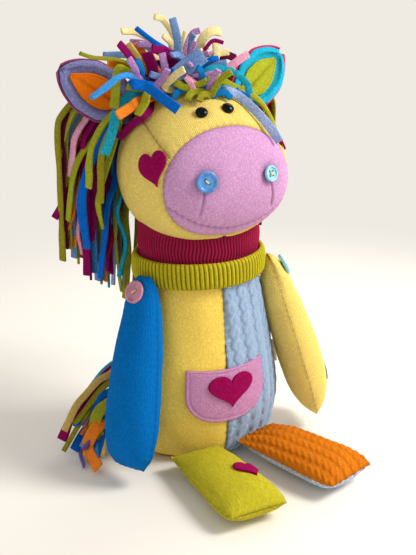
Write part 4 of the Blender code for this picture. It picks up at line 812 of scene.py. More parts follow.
@dataclass
class Studio:
    """Camera, lights and floor."""

    position: tuple[float, float, float] = (-0.4225, -0.7947, 0.4810)
    heading: float = radians(-28.52)
    pitch: float = radians(19.7)
    lens: float = 68.24
    sensor: float = 36.0
    floor_side: float = 12.0
    backdrop: Colour = (1.0, 0.975, 0.935)
    backdrop_strength: float = 0.52
    backdrop_seen: float = 0.86
    floor_colour: Colour = srgb(242, 237, 229)
    floor_glow: float = 0.97
    floor_near: float = 0.3
    floor_far: float = 0.75

    def camera(self) -> None:
        """Adds the camera at the photo's angle and makes it the scene's."""
        data = bpy.data.cameras.new("camera")
        data.lens = self.lens
        data.sensor_width = self.sensor
        data.sensor_fit = "AUTO"
        data.clip_end = 20.0
        made = bpy.data.objects.new("camera", data)
        made.location = self.position
        made.rotation_euler = (radians(90.0) - self.pitch, 0.0, self.heading)
        bpy.context.scene.collection.objects.link(made)
        bpy.context.scene.camera = made

    def lamp(self, name: str, position: tuple, target: tuple, size: float, power: float, colour: Colour) -> None:
        """Adds a square area light that points at a target.

        Args:
            name: Name of the light.
            position: Where it hangs.
            target: What it points at.
            size: Side of the square.
            power: Watts.
            colour: Its colour.
        """
        data = bpy.data.lights.new(name, "AREA")
        data.size = size
        data.energy = power
        data.color = colour
        made = bpy.data.objects.new(name, data)
        made.location = position
        made.rotation_euler = (Vector(target) - Vector(position)).to_track_quat("-Z", "Y").to_euler()
        bpy.context.scene.collection.objects.link(made)

    def floor(self) -> None:
        """Adds a large pale floor that takes the shadow near the object and glows evenly farther out."""
        half = 0.5 * self.floor_side
        points = np.array(((-half, -half, 0.0), (half, -half, 0.0), (half, half, 0.0), (-half, half, 0.0)))
        mesh = bpy.data.meshes.new("floor")
        mesh.from_pydata(points, [], [(0, 1, 2, 3)])
        graph = Graph(bpy.data.materials.new("floor"))
        far = graph.node("ShaderNodeVectorMath", {"operation": "LENGTH"}, {0: graph.place()}, "Value")
        glow = graph.node("ShaderNodeEmission", None, {"Color": self.floor_colour, "Strength": self.floor_glow})
        paint = graph.finish(Base_Color=self.floor_colour, Roughness=0.7, Specular_IOR_Level=0.1)
        mixed = graph.node("ShaderNodeMixShader", None, {0: graph.span(far, self.floor_near, self.floor_far),
                                                         1: Socket(graph, graph.shader.outputs[0]), 2: glow})
        graph.tree.links.new(mixed.port, graph.tree.nodes["Material Output"].inputs["Surface"])
        mesh.materials.append(paint)
        made = bpy.data.objects.new("floor", mesh)
        bpy.context.scene.collection.objects.link(made)

    def world(self) -> None:
        """Gives the world a plain white light, and the camera a paler backdrop than the light alone would show."""
        graph = Graph(bpy.data.worlds.new("world"), "Background")
        seen = graph.node("ShaderNodeLightPath", output="Is Camera Ray")
        strength = seen * (self.backdrop_seen - self.backdrop_strength) + self.backdrop_strength
        bpy.context.scene.world = graph.finish(Color=self.backdrop, Strength=strength)

    def build(self) -> None:
        """Sets up the whole studio."""
        self.camera()
        self.floor()
        self.world()
        self.lamp("key", (0.92, -0.66, 1.16), (0.0, -0.03, 0.2), 0.6, 22.5, (1.0, 0.98, 0.94))
        self.lamp("fill", (-1.2, -0.5, 0.7), (0.0, 0.0, 0.2), 1.0, 2.2, (0.94, 0.97, 1.0))
        self.lamp("low", (1.15, -0.85, 0.32), (0.05, -0.05, 0.1), 0.7, 3.2, (1.0, 0.98, 0.95))
        self.lamp("rim", (0.7, 0.7, 0.9), (0.0, 0.0, 0.25), 0.8, 5.0, (1.0, 1.0, 1.0))
        bpy.context.scene.view_settings.view_transform = "Standard"


@dataclass
class Torso:
    """The torso: four quarter panels with sunk seams, its flat base and the filling."""

    height: float = 171.0 * MM
    half_width: float = 75.0 * MM
    half_depth: float = 56.0 * MM
    felt: float = 2.0 * MM
    filling_depth: float = 3.3 * MM
    cable_pitch: float = 15.5 * MM
    cable_turn: float = 24.0 * MM
    cable_height: float = 2.6 * MM
    widths: tuple = ((0.0, 0.72), (0.035, 0.86), (0.12, 0.955), (0.27, 1.0), (0.47, 0.95), (0.70, 0.845),
                     (0.88, 0.755), (1.0, 0.68))
    depths: tuple = ((0.0, 0.74), (0.035, 0.88), (0.12, 0.965), (0.27, 1.0), (0.47, 0.965), (0.70, 0.89),
                     (0.88, 0.84), (1.0, 0.79))

    def surface(self, turn: Array, rise: Array) -> Array:
        """Torso skin: an oval at each height whose half axes follow the two tables.

        Args:
            turn: Turn from the front towards the left.
            rise: Share of the height.

        Returns:
            The points.
        """
        wide = self.half_width * follow(self.widths, rise)
        deep = self.half_depth * follow(self.depths, rise)
        return join(wide * np.sin(turn), -deep * np.cos(turn), self.height * rise)

    def cables(self, points: Array) -> Array:
        """Relief of the light blue panel's upright cables over the points."""
        return cable_relief(points, self.cable_pitch, self.cable_turn, self.cable_height)

    def build(self) -> None:
        """Builds the panels, the base and the filling."""
        seams = SeamEdges(first_row=False, last_row=False)
        quarters = (("torso_front_right", -90.0, "yellow_felt", False),
                    ("torso_front_left", 0.0, "blue_cable", True),
                    ("torso_back_left", 90.0, "mauve_felt", False),
                    ("torso_back_right", 180.0, "mauve_felt", False))
        for name, start, finish, cabled in quarters:
            across, up = (150, 250) if cabled else (70, 110)
            turns = np.radians(np.linspace(start, start + 90.0, across))
            turn, rise = np.meshgrid(turns, np.linspace(0.0, 1.0, up))
            plain = self.surface(turn, rise)
            groove = seams.dip(plain)
            height = groove + ripple(plain, 34.0 * MM, 3) * 0.5 * MM
            if cabled:
                height = height + self.cables(plain)
            height = height * np.clip(rise / 0.04, 0.0, 1.0)
            outer = lift(self.surface, turn, rise, height)
            inner = lift(self.surface, turn, rise, np.full(rise.shape, -self.felt))
            outer[..., 2] = np.clip(outer[..., 2], 0.0, self.height)
            inner[..., 2] = np.clip(inner[..., 2], 0.3 * MM, self.height - 0.3 * MM)
            # Painted shade in the seams between the quarters
            put(shell(name + "_cloth", outer, inner, finish, crease=seam_shade(groove)), "torso", name)
        turn, share = np.meshgrid(np.linspace(0.0, 2.0 * pi, 97)[:-1], np.linspace(0.002, 1.0, 20))
        low = self.surface(turn, np.zeros(turn.shape)) * share[..., None]
        high = low + UP * self.felt
        put(shell("torso_base_cloth", high, low, "mauve_felt", True), "torso", "torso_base")
        put(self.filling(), "torso", "torso_filling", fill=0.85)

    def filling(self) -> bpy.types.Object:
        """Builds the filling: the skin's own form, a cloth's thickness and a little more inside it.

        Returns:
            The filling.
        """
        turn, rise = np.meshgrid(np.linspace(0.0, 2.0 * pi, 65)[:-1], np.linspace(0.03, 1.0, 34))
        body = lift(self.surface, turn, rise, np.full(rise.shape, -self.filling_depth))
        body[..., 2] = np.clip(body[..., 2], 2.5 * MM, self.height)
        return closed_rings("torso_filling_body", body, "stuffing")


def seam_shade(groove: Array) -> Array:
    """Share of painted shade for cloth in a seam, from 0 to 1: the power 1.5 of its depth over two millimetres.

    Args:
        groove: Height of the cloth, below zero in the seam.

    Returns:
        The shares of painted shade.
    """
    return np.clip(-groove / (2.0 * MM), 0.0, 1.0) ** 1.5


def cable_relief(points: Array, pitch: float, turn: float, height: float) -> Array:
    """Relief of knitted cables over a grid.

    In each column two rounded strands swing from side to side as sines half a turn apart; the strand that is
    in front stands higher. Strands are read from the distances along the grid's rows and columns.

    Args:
        points: Points of the plain surface by row and column.
        pitch: Distance from column to column.
        turn: Length of one full crossing.
        height: Height of a strand.

    Returns:
        The height at each point.
    """
    across, down = lengths(points)
    across = across - across[:, across.shape[1] // 2][:, None]
    place = np.mod(across / pitch, 1.0) - 0.5
    phase = 2.0 * pi * down / turn
    result = np.zeros(across.shape)
    for k in (0.0, pi):
        centre = 0.2 * np.sin(phase + k)
        front = 0.72 + 0.28 * np.cos(phase + k)
        bulge = np.sqrt(np.clip(1.0 - ((place - centre) / 0.21) ** 2, 0.0, 1.0))
        result = np.maximum(result, height * bulge * front)
    return result


def closed_rings(name: str, rings: Array, finish: str) -> bpy.types.Object:
    """Makes a solid from rings of points, closed by shrinking the first and last ring to their middles.

    Args:
        name: Name of the piece.
        rings: Points by ring and turn.
        finish: Name of its finish.

    Returns:
        The new object.
    """
    first = rings[0].mean(axis=0)
    last = rings[-1].mean(axis=0)
    caps = np.array((0.002, 0.35, 0.7))[:, None, None]
    foot = first + (rings[0] - first)[None] * caps
    head = last + (rings[-1] - last)[None] * caps[::-1]
    points = np.concatenate((foot, rings, head))
    rows, columns = points.shape[:2]
    across, down = lengths(points)
    cloth = np.stack((across, down), axis=-1)
    ends = []
    for row, flip in ((0, True), (rows - 1, False)):
        index = row * columns + np.arange(columns)
        loop = np.stack((np.full(columns - 2, index[0]), index[1:-1], index[2:]), axis=-1)
        ends.append(loop[:, ::-1] if flip else loop)
    return add_mesh(name, points, grid_faces(rows, columns, True, 0), finish, cloth, np.concatenate(ends))


@dataclass
class Head:
    """The head: a full muzzle with its chin, the gusset over the eyes, two side panels and the filling."""

    half_width: float = 70.0 * MM
    half_height: float = 67.0 * MM
    muzzle_reach: float = 79.0 * MM
    nape_reach: float = 66.0 * MM
    back_shift: float = 5.0 * MM
    middle: float = 263.0 * MM
    muzzle_drop: float = 5.0 * MM
    fullness: float = 3.0
    muzzle_seam: float = radians(45.0)
    gusset_front: float = radians(60.0)
    gusset_back: float = radians(24.0)
    mouth_half_width: float = 52.0 * MM
    mouth_height: float = -41.0 * MM
    mouth_rise: float = 19.0 * MM
    chin_from: float = radians(109.5)
    felt: float = 2.0 * MM
    filling_depth: float = 3.3 * MM
    eye_turns: tuple[float, float] = (radians(-14.5), radians(7.0))
    eye_sweep: float = radians(58.2)
    nostril_turn: float = radians(61.0)
    nostril_sweep: float = radians(16.5)
    dimple_depth: float = 2.6 * MM
    dimple_radius: float = 11.0 * MM
    dart_foot: tuple[float, float] = (radians(138.0), radians(27.5))
    dart_depth: float = 1.5 * MM
    dart_reach: float = 1.0 * MM
    jowl_share: float = 0.14

    def surface(self, turn: Array, sweep: Array) -> Array:
        """Head skin, by turn round the muzzle's axis and sweep from the muzzle to the nape.

        Behind its widest ring the head is an ellipsoid; ahead of it the width follows a fuller curve of the
        third power, and the middle drops with the square of the distance ahead. In the lower half the width
        grows with the square of the cosine of the turn.

        Args:
            turn: Turn round the axis, up being zero and the left positive.
            sweep: Angle from the muzzle's end.

        Returns:
            The points.
        """
        ahead = np.cos(sweep)
        reach = np.where(ahead > 0.0, self.muzzle_reach, self.nape_reach)
        wide, high, middle = self.section(ahead)
        wide = wide * (1.0 + self.jowl_share * np.maximum(-np.cos(turn), 0.0) ** 2)
        return join(wide * np.sin(turn), self.back_shift - reach * ahead, middle + high * np.cos(turn))

    def section(self, ahead: Array) -> tuple[Array, Array, Array]:
        """Half width, half height and middle of the head's section.

        Args:
            ahead: Share of the reach ahead of the widest ring, negative behind it.

        Returns:
            The three lengths.
        """
        front = ahead > 0.0
        depth = np.abs(ahead)
        round_share = np.sqrt(np.maximum(1.0 - depth**2, 0.0))
        full_share = np.maximum(1.0 - depth**self.fullness, 0.0) ** (1.0 / self.fullness)
        wide = self.half_width * np.where(front, full_share, round_share)
        middle = self.middle - np.where(front, self.muzzle_drop * depth**2, 0.0)
        return wide, self.half_height * round_share, middle

    def underside(self, x: Array, y: Array) -> Array:
        """Height of the head's lower skin over points of the floor plan, found in four rounds.

        Args:
            x: Distance to the left.
            y: Distance to the back.

        Returns:
            The heights.
        """
        ahead = (self.back_shift - y) / np.where(y < self.back_shift, self.muzzle_reach, self.nape_reach)
        wide, high, middle = self.section(np.clip(ahead, -0.98, 0.98))
        low = np.ones(np.shape(x))
        for _ in range(4):
            low = np.sqrt(np.maximum(1.0 - (x / (wide * (1.0 + self.jowl_share * low**2))) ** 2, 0.0))
        return middle - high * low

    def mouth_sweep(self, turn: Array) -> Array:
        """Sweep at which the mouth seam crosses each turn, or the muzzle seam where the mouth doesn't reach.

        Args:
            turn: Turns round the axis.

        Returns:
            The sweeps.
        """
        sweeps = np.linspace(radians(8.0), self.muzzle_seam, 400)
        points = self.surface(turn[:, None], sweeps[None, :])
        line = self.middle + self.mouth_height + self.mouth_rise * (points[..., 0] / self.mouth_half_width) ** 2
        below = points[..., 2] < line
        return np.where(below.any(axis=1), sweeps[np.argmax(below, axis=1)], self.muzzle_seam)

    def gusset_turn(self, sweep: Array) -> Array:
        """Half the gusset's turn: wide over the eyes, narrow at the nape, straight between."""
        share = (sweep - self.muzzle_seam) / (pi - self.muzzle_seam)
        return self.gusset_front + (self.gusset_back - self.gusset_front) * share

    def spot(self, turn: float, sweep: float) -> Array:
        """The point of the skin at one turn and sweep."""
        return self.surface(np.array(turn), np.array(sweep))

    def dents(self, points: Array) -> Array:
        """Depth that the sewn-on eyes and nostrils pull into the skin, and the two darts under them.

        Each dimple falls off as a bell curve of the distance, and each dart as one of the distance to the
        plane that holds the nostril, the head's middle and the dart's foot at the mouth.

        Args:
            points: Points of the plain skin.

        Returns:
            The height at each point, zero or below.
        """
        result = np.zeros(points.shape[:-1])
        for side, eye_turn in zip((-1, 1), self.eye_turns):
            nostril = self.spot(side * self.nostril_turn, self.nostril_sweep)
            eye = self.spot(eye_turn, self.eye_sweep)
            for spot, radius, depth in ((nostril, self.dimple_radius, self.dimple_depth),
                                        (eye, 0.6 * self.dimple_radius, 0.6 * self.dimple_depth)):
                far = np.linalg.norm(points - spot, axis=-1)
                result = result - depth * np.exp(-((far / radius) ** 2))
            line = self.spot(side * self.dart_foot[0], self.dart_foot[1]) - nostril
            share = ((points - nostril) @ line) / np.dot(line, line)
            middle = np.array((0.0, self.back_shift, self.middle))
            off = (points - middle) @ unit(np.cross(nostril - middle, line))
            near = np.clip(8.0 * share, 0.0, 1.0) * np.clip(6.0 * (1.03 - share), 0.0, 1.0)
            near = near * (points[..., 1] < 0.0)
            result = result - self.dart_depth * near * np.exp(-((off / self.dart_reach) ** 2))
        return result

    def panel(self, name: str, turn: Array, sweep: Array, finish: str, seams: SeamEdges,
              wrap: bool = False) -> bpy.types.Object:
        """Makes one panel of the head.

        Args:
            name: CAD node that it stands for.
            turn: Turns by row and column.
            sweep: Sweeps by row and column.
            finish: Name of its finish.
            seams: Its sewn edges.
            wrap: Whether the last column joins the first.

        Returns:
            The panel.
        """
        plain = self.surface(turn, sweep)
        groove = seams.dip(plain)
        dents = self.dents(plain)
        height = groove + dents + ripple(plain, 38.0 * MM, 7) * 0.55 * MM
        outer = lift(self.surface, turn, sweep, height)
        inner = lift(self.surface, turn, sweep, np.minimum(height, 0.0) - self.felt)
        # Painted shade in the seams, the eye and nostril dimples and the darts
        depth = seam_shade(groove + 0.6 * dents)
        return put(shell(name + "_cloth", outer, inner, finish, wrap, crease=depth), "head", name)

    def build(self) -> None:
        """Builds the panels and the filling."""
        turns = np.linspace(-pi, pi, 321)[:-1]
        edge = self.mouth_sweep(turns)
        share = np.linspace(0.0, 1.0, 100)[:, None]
        sweep = 0.0012 + share * (edge[None, :] - 0.0012)
        turn = np.broadcast_to(turns, sweep.shape)
        mouth = SeamEdges(first_column=False, last_column=False, first_row=False, depth=1.3 * MM)
        self.panel("muzzle_top", turn, sweep, "lilac_felt", mouth, True)

        chin = np.linspace(self.chin_from, 2.0 * pi - self.chin_from, 161)
        upper = self.mouth_sweep(np.where(chin > pi, chin - 2.0 * pi, chin))
        share = np.linspace(0.0, 1.0, 40)[:, None]
        sweep = upper + share * (self.muzzle_seam - upper)
        turn = np.broadcast_to(chin, sweep.shape)
        self.panel("muzzle_chin", turn, sweep, "lilac_felt",
                   SeamEdges(first_column=False, last_column=False, depth=1.3 * MM))

        sweeps = np.linspace(self.muzzle_seam, pi - 0.003, 112)
        half = self.gusset_turn(sweeps)[:, None]
        share = np.linspace(-1.0, 1.0, 110)[None, :]
        turn = half * share
        sweep = np.broadcast_to(sweeps[:, None], turn.shape)
        self.panel("head_gusset", turn, sweep, "yellow_knit", SeamEdges(last_row=False))
        share = np.linspace(0.0, 1.0, 120)[None, :]
        for side in Side:
            turn = side.value * (half + share * (pi - half))
            turn = turn[:, ::-1] if side is Side.RIGHT else turn
            sweep = np.broadcast_to(sweeps[:, None], turn.shape)
            self.panel(f"head_side_{side.word}", turn, sweep, "yellow_knit", SeamEdges(last_row=False))
        turn, sweep = np.meshgrid(np.linspace(-pi, pi, 73)[:-1], np.linspace(0.2, pi - 0.2, 40))
        body = lift(self.surface, turn, sweep, np.full(turn.shape, -self.filling_depth - self.dimple_depth))
        put(closed_rings("head_filling_body", body, "stuffing"), "head", "head_filling", fill=0.9)


@dataclass
class Sleeve:
    """A stuffed limb sewn from two panels: its section is an oval that closes to a flat seam at each end."""

    root: Array
    along: Array
    broad: Array
    length: float
    half_width: float
    half_over: float
    half_under: float
    widths: tuple
    thicks: tuple
    under_thicks: tuple | None = None

    def __post_init__(self) -> None:
        """Squares the broad direction to the limb's own and finds the over direction."""
        self.along = unit(self.along)
        self.broad = unit(self.broad - self.along * np.dot(self.broad, self.along))
        self.over = np.cross(self.along, self.broad)

    def surface(self, turn: Array, sweep: Array) -> Array:
        """Limb skin: ovals along the limb whose half axes follow the two tables, closing at the ends.

        Args:
            turn: Turn round the limb, 90 degrees being its over side.
            sweep: Sweep from root to tip.

        Returns:
            The points.
        """
        sweep = np.clip(sweep, 1e-4, pi - 1e-4)
        share = 0.5 - 0.5 * np.cos(sweep)
        wide = self.half_width * follow(self.widths, share)
        close = np.sqrt(1.0 - np.abs(np.cos(sweep)) ** 5)
        over = self.half_over * follow(self.thicks, share)
        under = self.half_under * follow(self.under_thicks or self.thicks, share)
        thick = np.where(np.sin(turn) > 0.0, over, under) * close
        return (self.root + self.along * (self.length * share)[..., None]
                + self.broad * (wide * np.cos(turn))[..., None] + self.over * (thick * np.sin(turn))[..., None])

    def panel(self, name: str, way: int, finish: str, relief: Callable[[Array], Array] | None,
              size: tuple[int, int] = (110, 150)) -> bpy.types.Object:
        """Makes one of the two panels.

        Args:
            name: Name of the piece.
            way: 1 for the over side, -1 for the under side.
            finish: Name of its finish.
            relief: Extra height from the grid of points.
            size: Columns and rows of the grid.

        Returns:
            The panel.
        """
        first = 0.0 if way > 0 else -pi
        turn, sweep = np.meshgrid(np.linspace(first, first + pi, size[0]), np.linspace(0.02, 3.129, size[1]))
        turn = np.clip(turn, first + 0.002, first + pi - 0.002)
        plain = self.surface(turn, sweep)
        groove = SeamEdges(depth=1.2 * MM, reach=2.2 * MM).dip(plain)
        height = groove + ripple(plain, 30.0 * MM, 11) * 0.4 * MM
        if relief is not None:
            height = height + relief(plain)
        edge = np.clip(np.abs(np.sin(turn)) / 0.25, 0.0, 1.0)
        outer = lift(self.surface, turn, sweep, height * edge)
        inner = lift(self.surface, turn, sweep, np.full(turn.shape, -0.9 * MM))
        # Painted shade along the seams
        return shell(name, outer, inner, finish, crease=seam_shade(groove))

    def filling(self, name: str) -> bpy.types.Object:
        """Makes the filling inside the panels.

        Args:
            name: Name of the piece.

        Returns:
            The filling.
        """
        turn, sweep = np.meshgrid(np.linspace(0.0, 2.0 * pi, 49)[:-1], np.linspace(0.5, 2.75, 30))
        body = lift(self.surface, turn, sweep, np.full(turn.shape, -3.3 * MM))
        return closed_rings(name, body, "stuffing")


def smooth_step(share: Array) -> Array:
    """Smooth step from zero at zero to one at one: 3 s^2 - 2 s^3.

    Args:
        share: The shares s, held between zero and one.

    Returns:
        The values.
    """
    share = np.clip(share, 0.0, 1.0)
    return share**2 * (3.0 - 2.0 * share)


def heart_outline(angle: Array) -> Array:
    """Outline of a heart of width and height one.

    Across it is half the cube of the sine; up it is 13 cos t - 5 cos 2t - 2 cos 3t - cos 4t + 2.5, over 29.

    Args:
        angle: The parameter t round the outline.

    Returns:
        Points across and up, by angle.
    """
    rise = 13.0 * np.cos(angle) - 5.0 * np.cos(2.0 * angle) - 2.0 * np.cos(3.0 * angle) - np.cos(4.0 * angle)
    return np.stack((0.5 * np.sin(angle) ** 3, (rise + 2.5) / 29.0), axis=-1)


def pocket_outline(angle: Array) -> Array:
    """Outline of a patch pocket of width and height one: a square upper part over a deep round one.

    Above the middle a point lies on a square, below it on an oval with the sine to the power 0.8; the upper
    edge sags by 0.05 of the height halfway across.

    Args:
        angle: Angle from straight up.

    Returns:
        Points across and up, by angle.
    """
    across, rise = np.sin(angle), np.cos(angle)
    above = rise > 0.0
    squared = np.maximum(np.abs(across), np.abs(rise))
    wide = 0.5 * np.where(above, across / squared, np.sign(across) * np.abs(across) ** 0.8)
    sag = 0.05 * np.maximum(1.0 - (2.0 * wide) ** 2, 0.0)
    high = np.where(above, (0.45 - sag) * rise / squared, 0.55 * rise)
    return np.stack((wide, high), axis=-1)


@dataclass(frozen=True)
class Applique:
    """A felt shape sewn on a surface: its top rounds off at the rim and a row of stitches may pull it down."""

    width: float
    height: float
    spin: float
    top: float
    thickness: float = 1.9 * MM
    rim: float = 0.9 * MM
    stitch_inset: float | None = None
    sides: int = 144
    rings: int = 30

    def sew(self, body: str, node: str, surface: Surface, turn: float, step: float,
            outline: Callable[[Array], Array] = heart_outline, finish: str = "magenta_felt") -> None:
        """Builds the shape and lets it stand for its CAD node.

        The outline's points are scaled towards the centre by share, laid along the surface by its lengths for
        each parameter at the centre, and lifted. The top falls at the rim along a quarter of a circle.

        Args:
            body: Body that carries it.
            node: CAD node that it stands for.
            surface: The surface that it lies on.
            turn: First parameter of its centre.
            step: Second parameter of its centre.
            outline: Its outline.
            finish: Name of its finish.
        """
        tiny = 0.004
        here = surface(np.array(turn), np.array(step))
        along_turn = np.linalg.norm(surface(np.array(turn + tiny), np.array(step)) - here) / tiny
        along_step = np.linalg.norm(surface(np.array(turn), np.array(step + tiny)) - here) / tiny
        flat = outline(np.linspace(0.0, 2.0 * pi, self.sides, endpoint=False))
        flat = flat * np.array((self.width, self.height))
        right = flat[:, 0] * cos(self.spin) - flat[:, 1] * sin(self.spin)
        ahead = flat[:, 0] * sin(self.spin) + flat[:, 1] * cos(self.spin)
        share = 1.0 - (1.0 - np.linspace(0.02, 1.0, self.rings)[:, None]) ** 1.35
        turns = turn + share * right / along_turn
        steps = step + share * ahead / along_step
        inset = (1.0 - share) * np.linalg.norm(flat, axis=1)
        fall = np.sqrt(np.maximum(1.0 - np.clip(1.0 - inset / self.rim, 0.0, 1.0) ** 2, 0.0))
        height = self.top - 0.8 * self.rim * (1.0 - fall)
        if self.stitch_inset is not None:
            height = height - 0.55 * MM * np.exp(-(((inset - self.stitch_inset) / (0.7 * MM)) ** 2))
        upper = lift(surface, turns, steps, height + 0.12 * MM * np.sin(9.0 * right / MM * 0.05))
        lower = lift(surface, turns, steps, np.full(turns.shape, self.top - self.thickness))
        put(closed_disc(node + "_felt", upper, lower, finish), body, node)


def closed_disc(name: str, upper: Array, lower: Array, finish: str) -> bpy.types.Object:
    """Makes a closed piece from two faces given as rings round a centre, widest ring last.

    Args:
        name: Name of the piece.
        upper: Points of the upper face by ring and side.
        lower: Points of the lower face in the same order.
        finish: Name of its finish.

    Returns:
        The piece.
    """
    rows, columns = upper.shape[:2]
    count = rows * columns
    points = np.concatenate((upper.reshape(-1, 3), lower.reshape(-1, 3),
                             upper[:1].mean(axis=1), lower[:1].mean(axis=1)))
    index = np.arange(count).reshape(rows, columns)
    run = np.append(index[-1], index[-1, :1])
    ring = np.append(index[0], index[0, :1])
    centre = np.full(columns, 2 * count)
    faces = np.concatenate((grid_faces(rows, columns, True, 0), grid_faces(rows, columns, True, count, True),
                            strip_faces(run, run + count)))
    fans = np.concatenate((np.stack((centre, ring[1:], ring[:-1]), axis=-1),
                           np.stack((centre + 1, ring[:-1] + count, ring[1:] + count), axis=-1)))
    corner = points[faces[(rows // 2) * columns]]
    looks = np.dot(np.cross(corner[1] - corner[0], corner[2] - corner[1]), (upper - lower)[rows // 2, 0])
    if looks < 0.0:
        faces, fans = faces[:, ::-1], fans[:, ::-1]
    return add_mesh(name, points, faces, finish, triangles=fans)


def frame_at(origin: Array, axis: Array, across: Array | None = None) -> Array:
    """Makes a frame with its third axis along a direction.

    Args:
        origin: Its origin.
        axis: Direction of its third axis.
        across: Direction that its first axis keeps near; up is taken where it is left out.

    Returns:
        A matrix of four columns: the three axes and the origin.
    """
    third = unit(axis)
    wanted = np.asarray(across if across is not None else (UP if abs(third[2]) < 0.9 else (1.0, 0.0, 0.0)))
    first = unit(wanted - third * np.dot(wanted, third))
    return np.stack((first, np.cross(third, first), third, origin), axis=-1)


def in_frame(frame_axes: Array, points: Array) -> Array:
    """Brings points out of a frame into the scene.

    Args:
        frame_axes: The frame's matrix.
        points: Points given in the frame.

    Returns:
        The points in the scene.
    """
    return points @ frame_axes[:, :3].T + frame_axes[:, 3]


def tube(name: str, path: Array, radius: float, finish: str, sides: int = 10) -> bpy.types.Object:
    """Makes a round closed strand along a path: at each point a circle square to the path.

    Args:
        name: Name of the piece.
        path: Its middle line.
        radius: Its radius.
        finish: Name of its finish.
        sides: Sides of its section.

    Returns:
        The strand.
    """
    along = unit(np.gradient(path, axis=0))
    wanted = np.array((0.31, 0.52, 0.79))
    first = unit(np.cross(along, wanted))
    second = np.cross(along, first)
    angle = np.linspace(0.0, 2.0 * pi, sides, endpoint=False)[None, :, None]
    rings = path[:, None] + radius * (np.cos(angle) * first[:, None] + np.sin(angle) * second[:, None])
    return closed_rings(name, rings, finish)


@dataclass(frozen=True)
class Button:
    """A sewing button: a turned disc with a raised rim and a dished middle with thread holes."""

    radius: float
    thickness: float
    holes: int
    finish: str
    spread: float = 2.3 * MM
    hole_radius: float = 1.15 * MM

    def build(self, name: str, seat: Array) -> bpy.types.Object:
        """Builds the disc.

        The rim stands over a rounded step; inside a hole's radius the face sinks by most of the thickness
        along a smooth step of the distance from the hole's middle.

        Args:
            name: Name of the piece.
            seat: Its frame, with the third axis out of the face.

        Returns:
            The disc.
        """
        angle = np.linspace(0.0, 2.0 * pi, 96, endpoint=False)[None, :]
        out = np.concatenate((np.linspace(0.02, 0.66, 36), np.linspace(0.67, 1.0, 28)))[:, None] * self.radius
        share = out / self.radius
        rim = 0.38 * self.thickness * smooth_step((share - 0.66) / 0.12)
        edge = np.sqrt(np.maximum(1.0 - np.clip((share - 0.88) / 0.12, 0.0, 1.0) ** 2, 0.0))
        high = (0.62 * self.thickness + rim) * (0.55 + 0.45 * edge) + 0.0 * angle
        x, y = out * np.cos(angle), out * np.sin(angle)
        for k in range(self.holes):
            turn = 2.0 * pi * k / self.holes + pi / 4.0
            far = np.hypot(x - self.spread * cos(turn), y - self.spread * sin(turn))
            high = high - 0.5 * self.thickness * smooth_step((self.hole_radius - far) / (0.3 * MM) + 0.5)
        upper = in_frame(seat, join(x, y, high))
        foot = np.where(share < 0.86, 0.0, 0.3 * self.thickness * ((share - 0.86) / 0.14) ** 2)
        lower = in_frame(seat, join(x * 0.995, y * 0.995, foot + 0.0 * angle))
        return closed_disc(name, upper, lower, self.finish)

    def stitches(self, name: str, seat: Array, body: str, nodes: tuple[str, ...]) -> None:
        """Sews it on: three strands side by side over each pair of opposite holes, arched as half a sine.

        Args:
            name: Start of the strands' names.
            seat: The button's frame.
            body: Body that carries them.
            nodes: CAD nodes that they stand for.
        """
        share = np.linspace(-1.0, 1.0, 25)
        for pair in range(self.holes // 2):
            turn = 2.0 * pi * pair / self.holes + pi / 4.0
            for k in (-1, 0, 1):
                run = self.spread * share
                aside = 0.42 * MM * k * np.cos(0.5 * pi * share)
                high = self.thickness * 0.22 + (0.62 * self.thickness + 0.35 * MM) * (1.0 - share**6)
                path = join(run * cos(turn) - aside * sin(turn),
                            run * sin(turn) + aside * cos(turn), high + 0.12 * MM * (pair - abs(k)))
                strand = tube(f"{name}_{pair + 1}_{k + 2}", in_frame(seat, path), 0.34 * MM, "cream_thread")
                put(strand, body, *nodes)


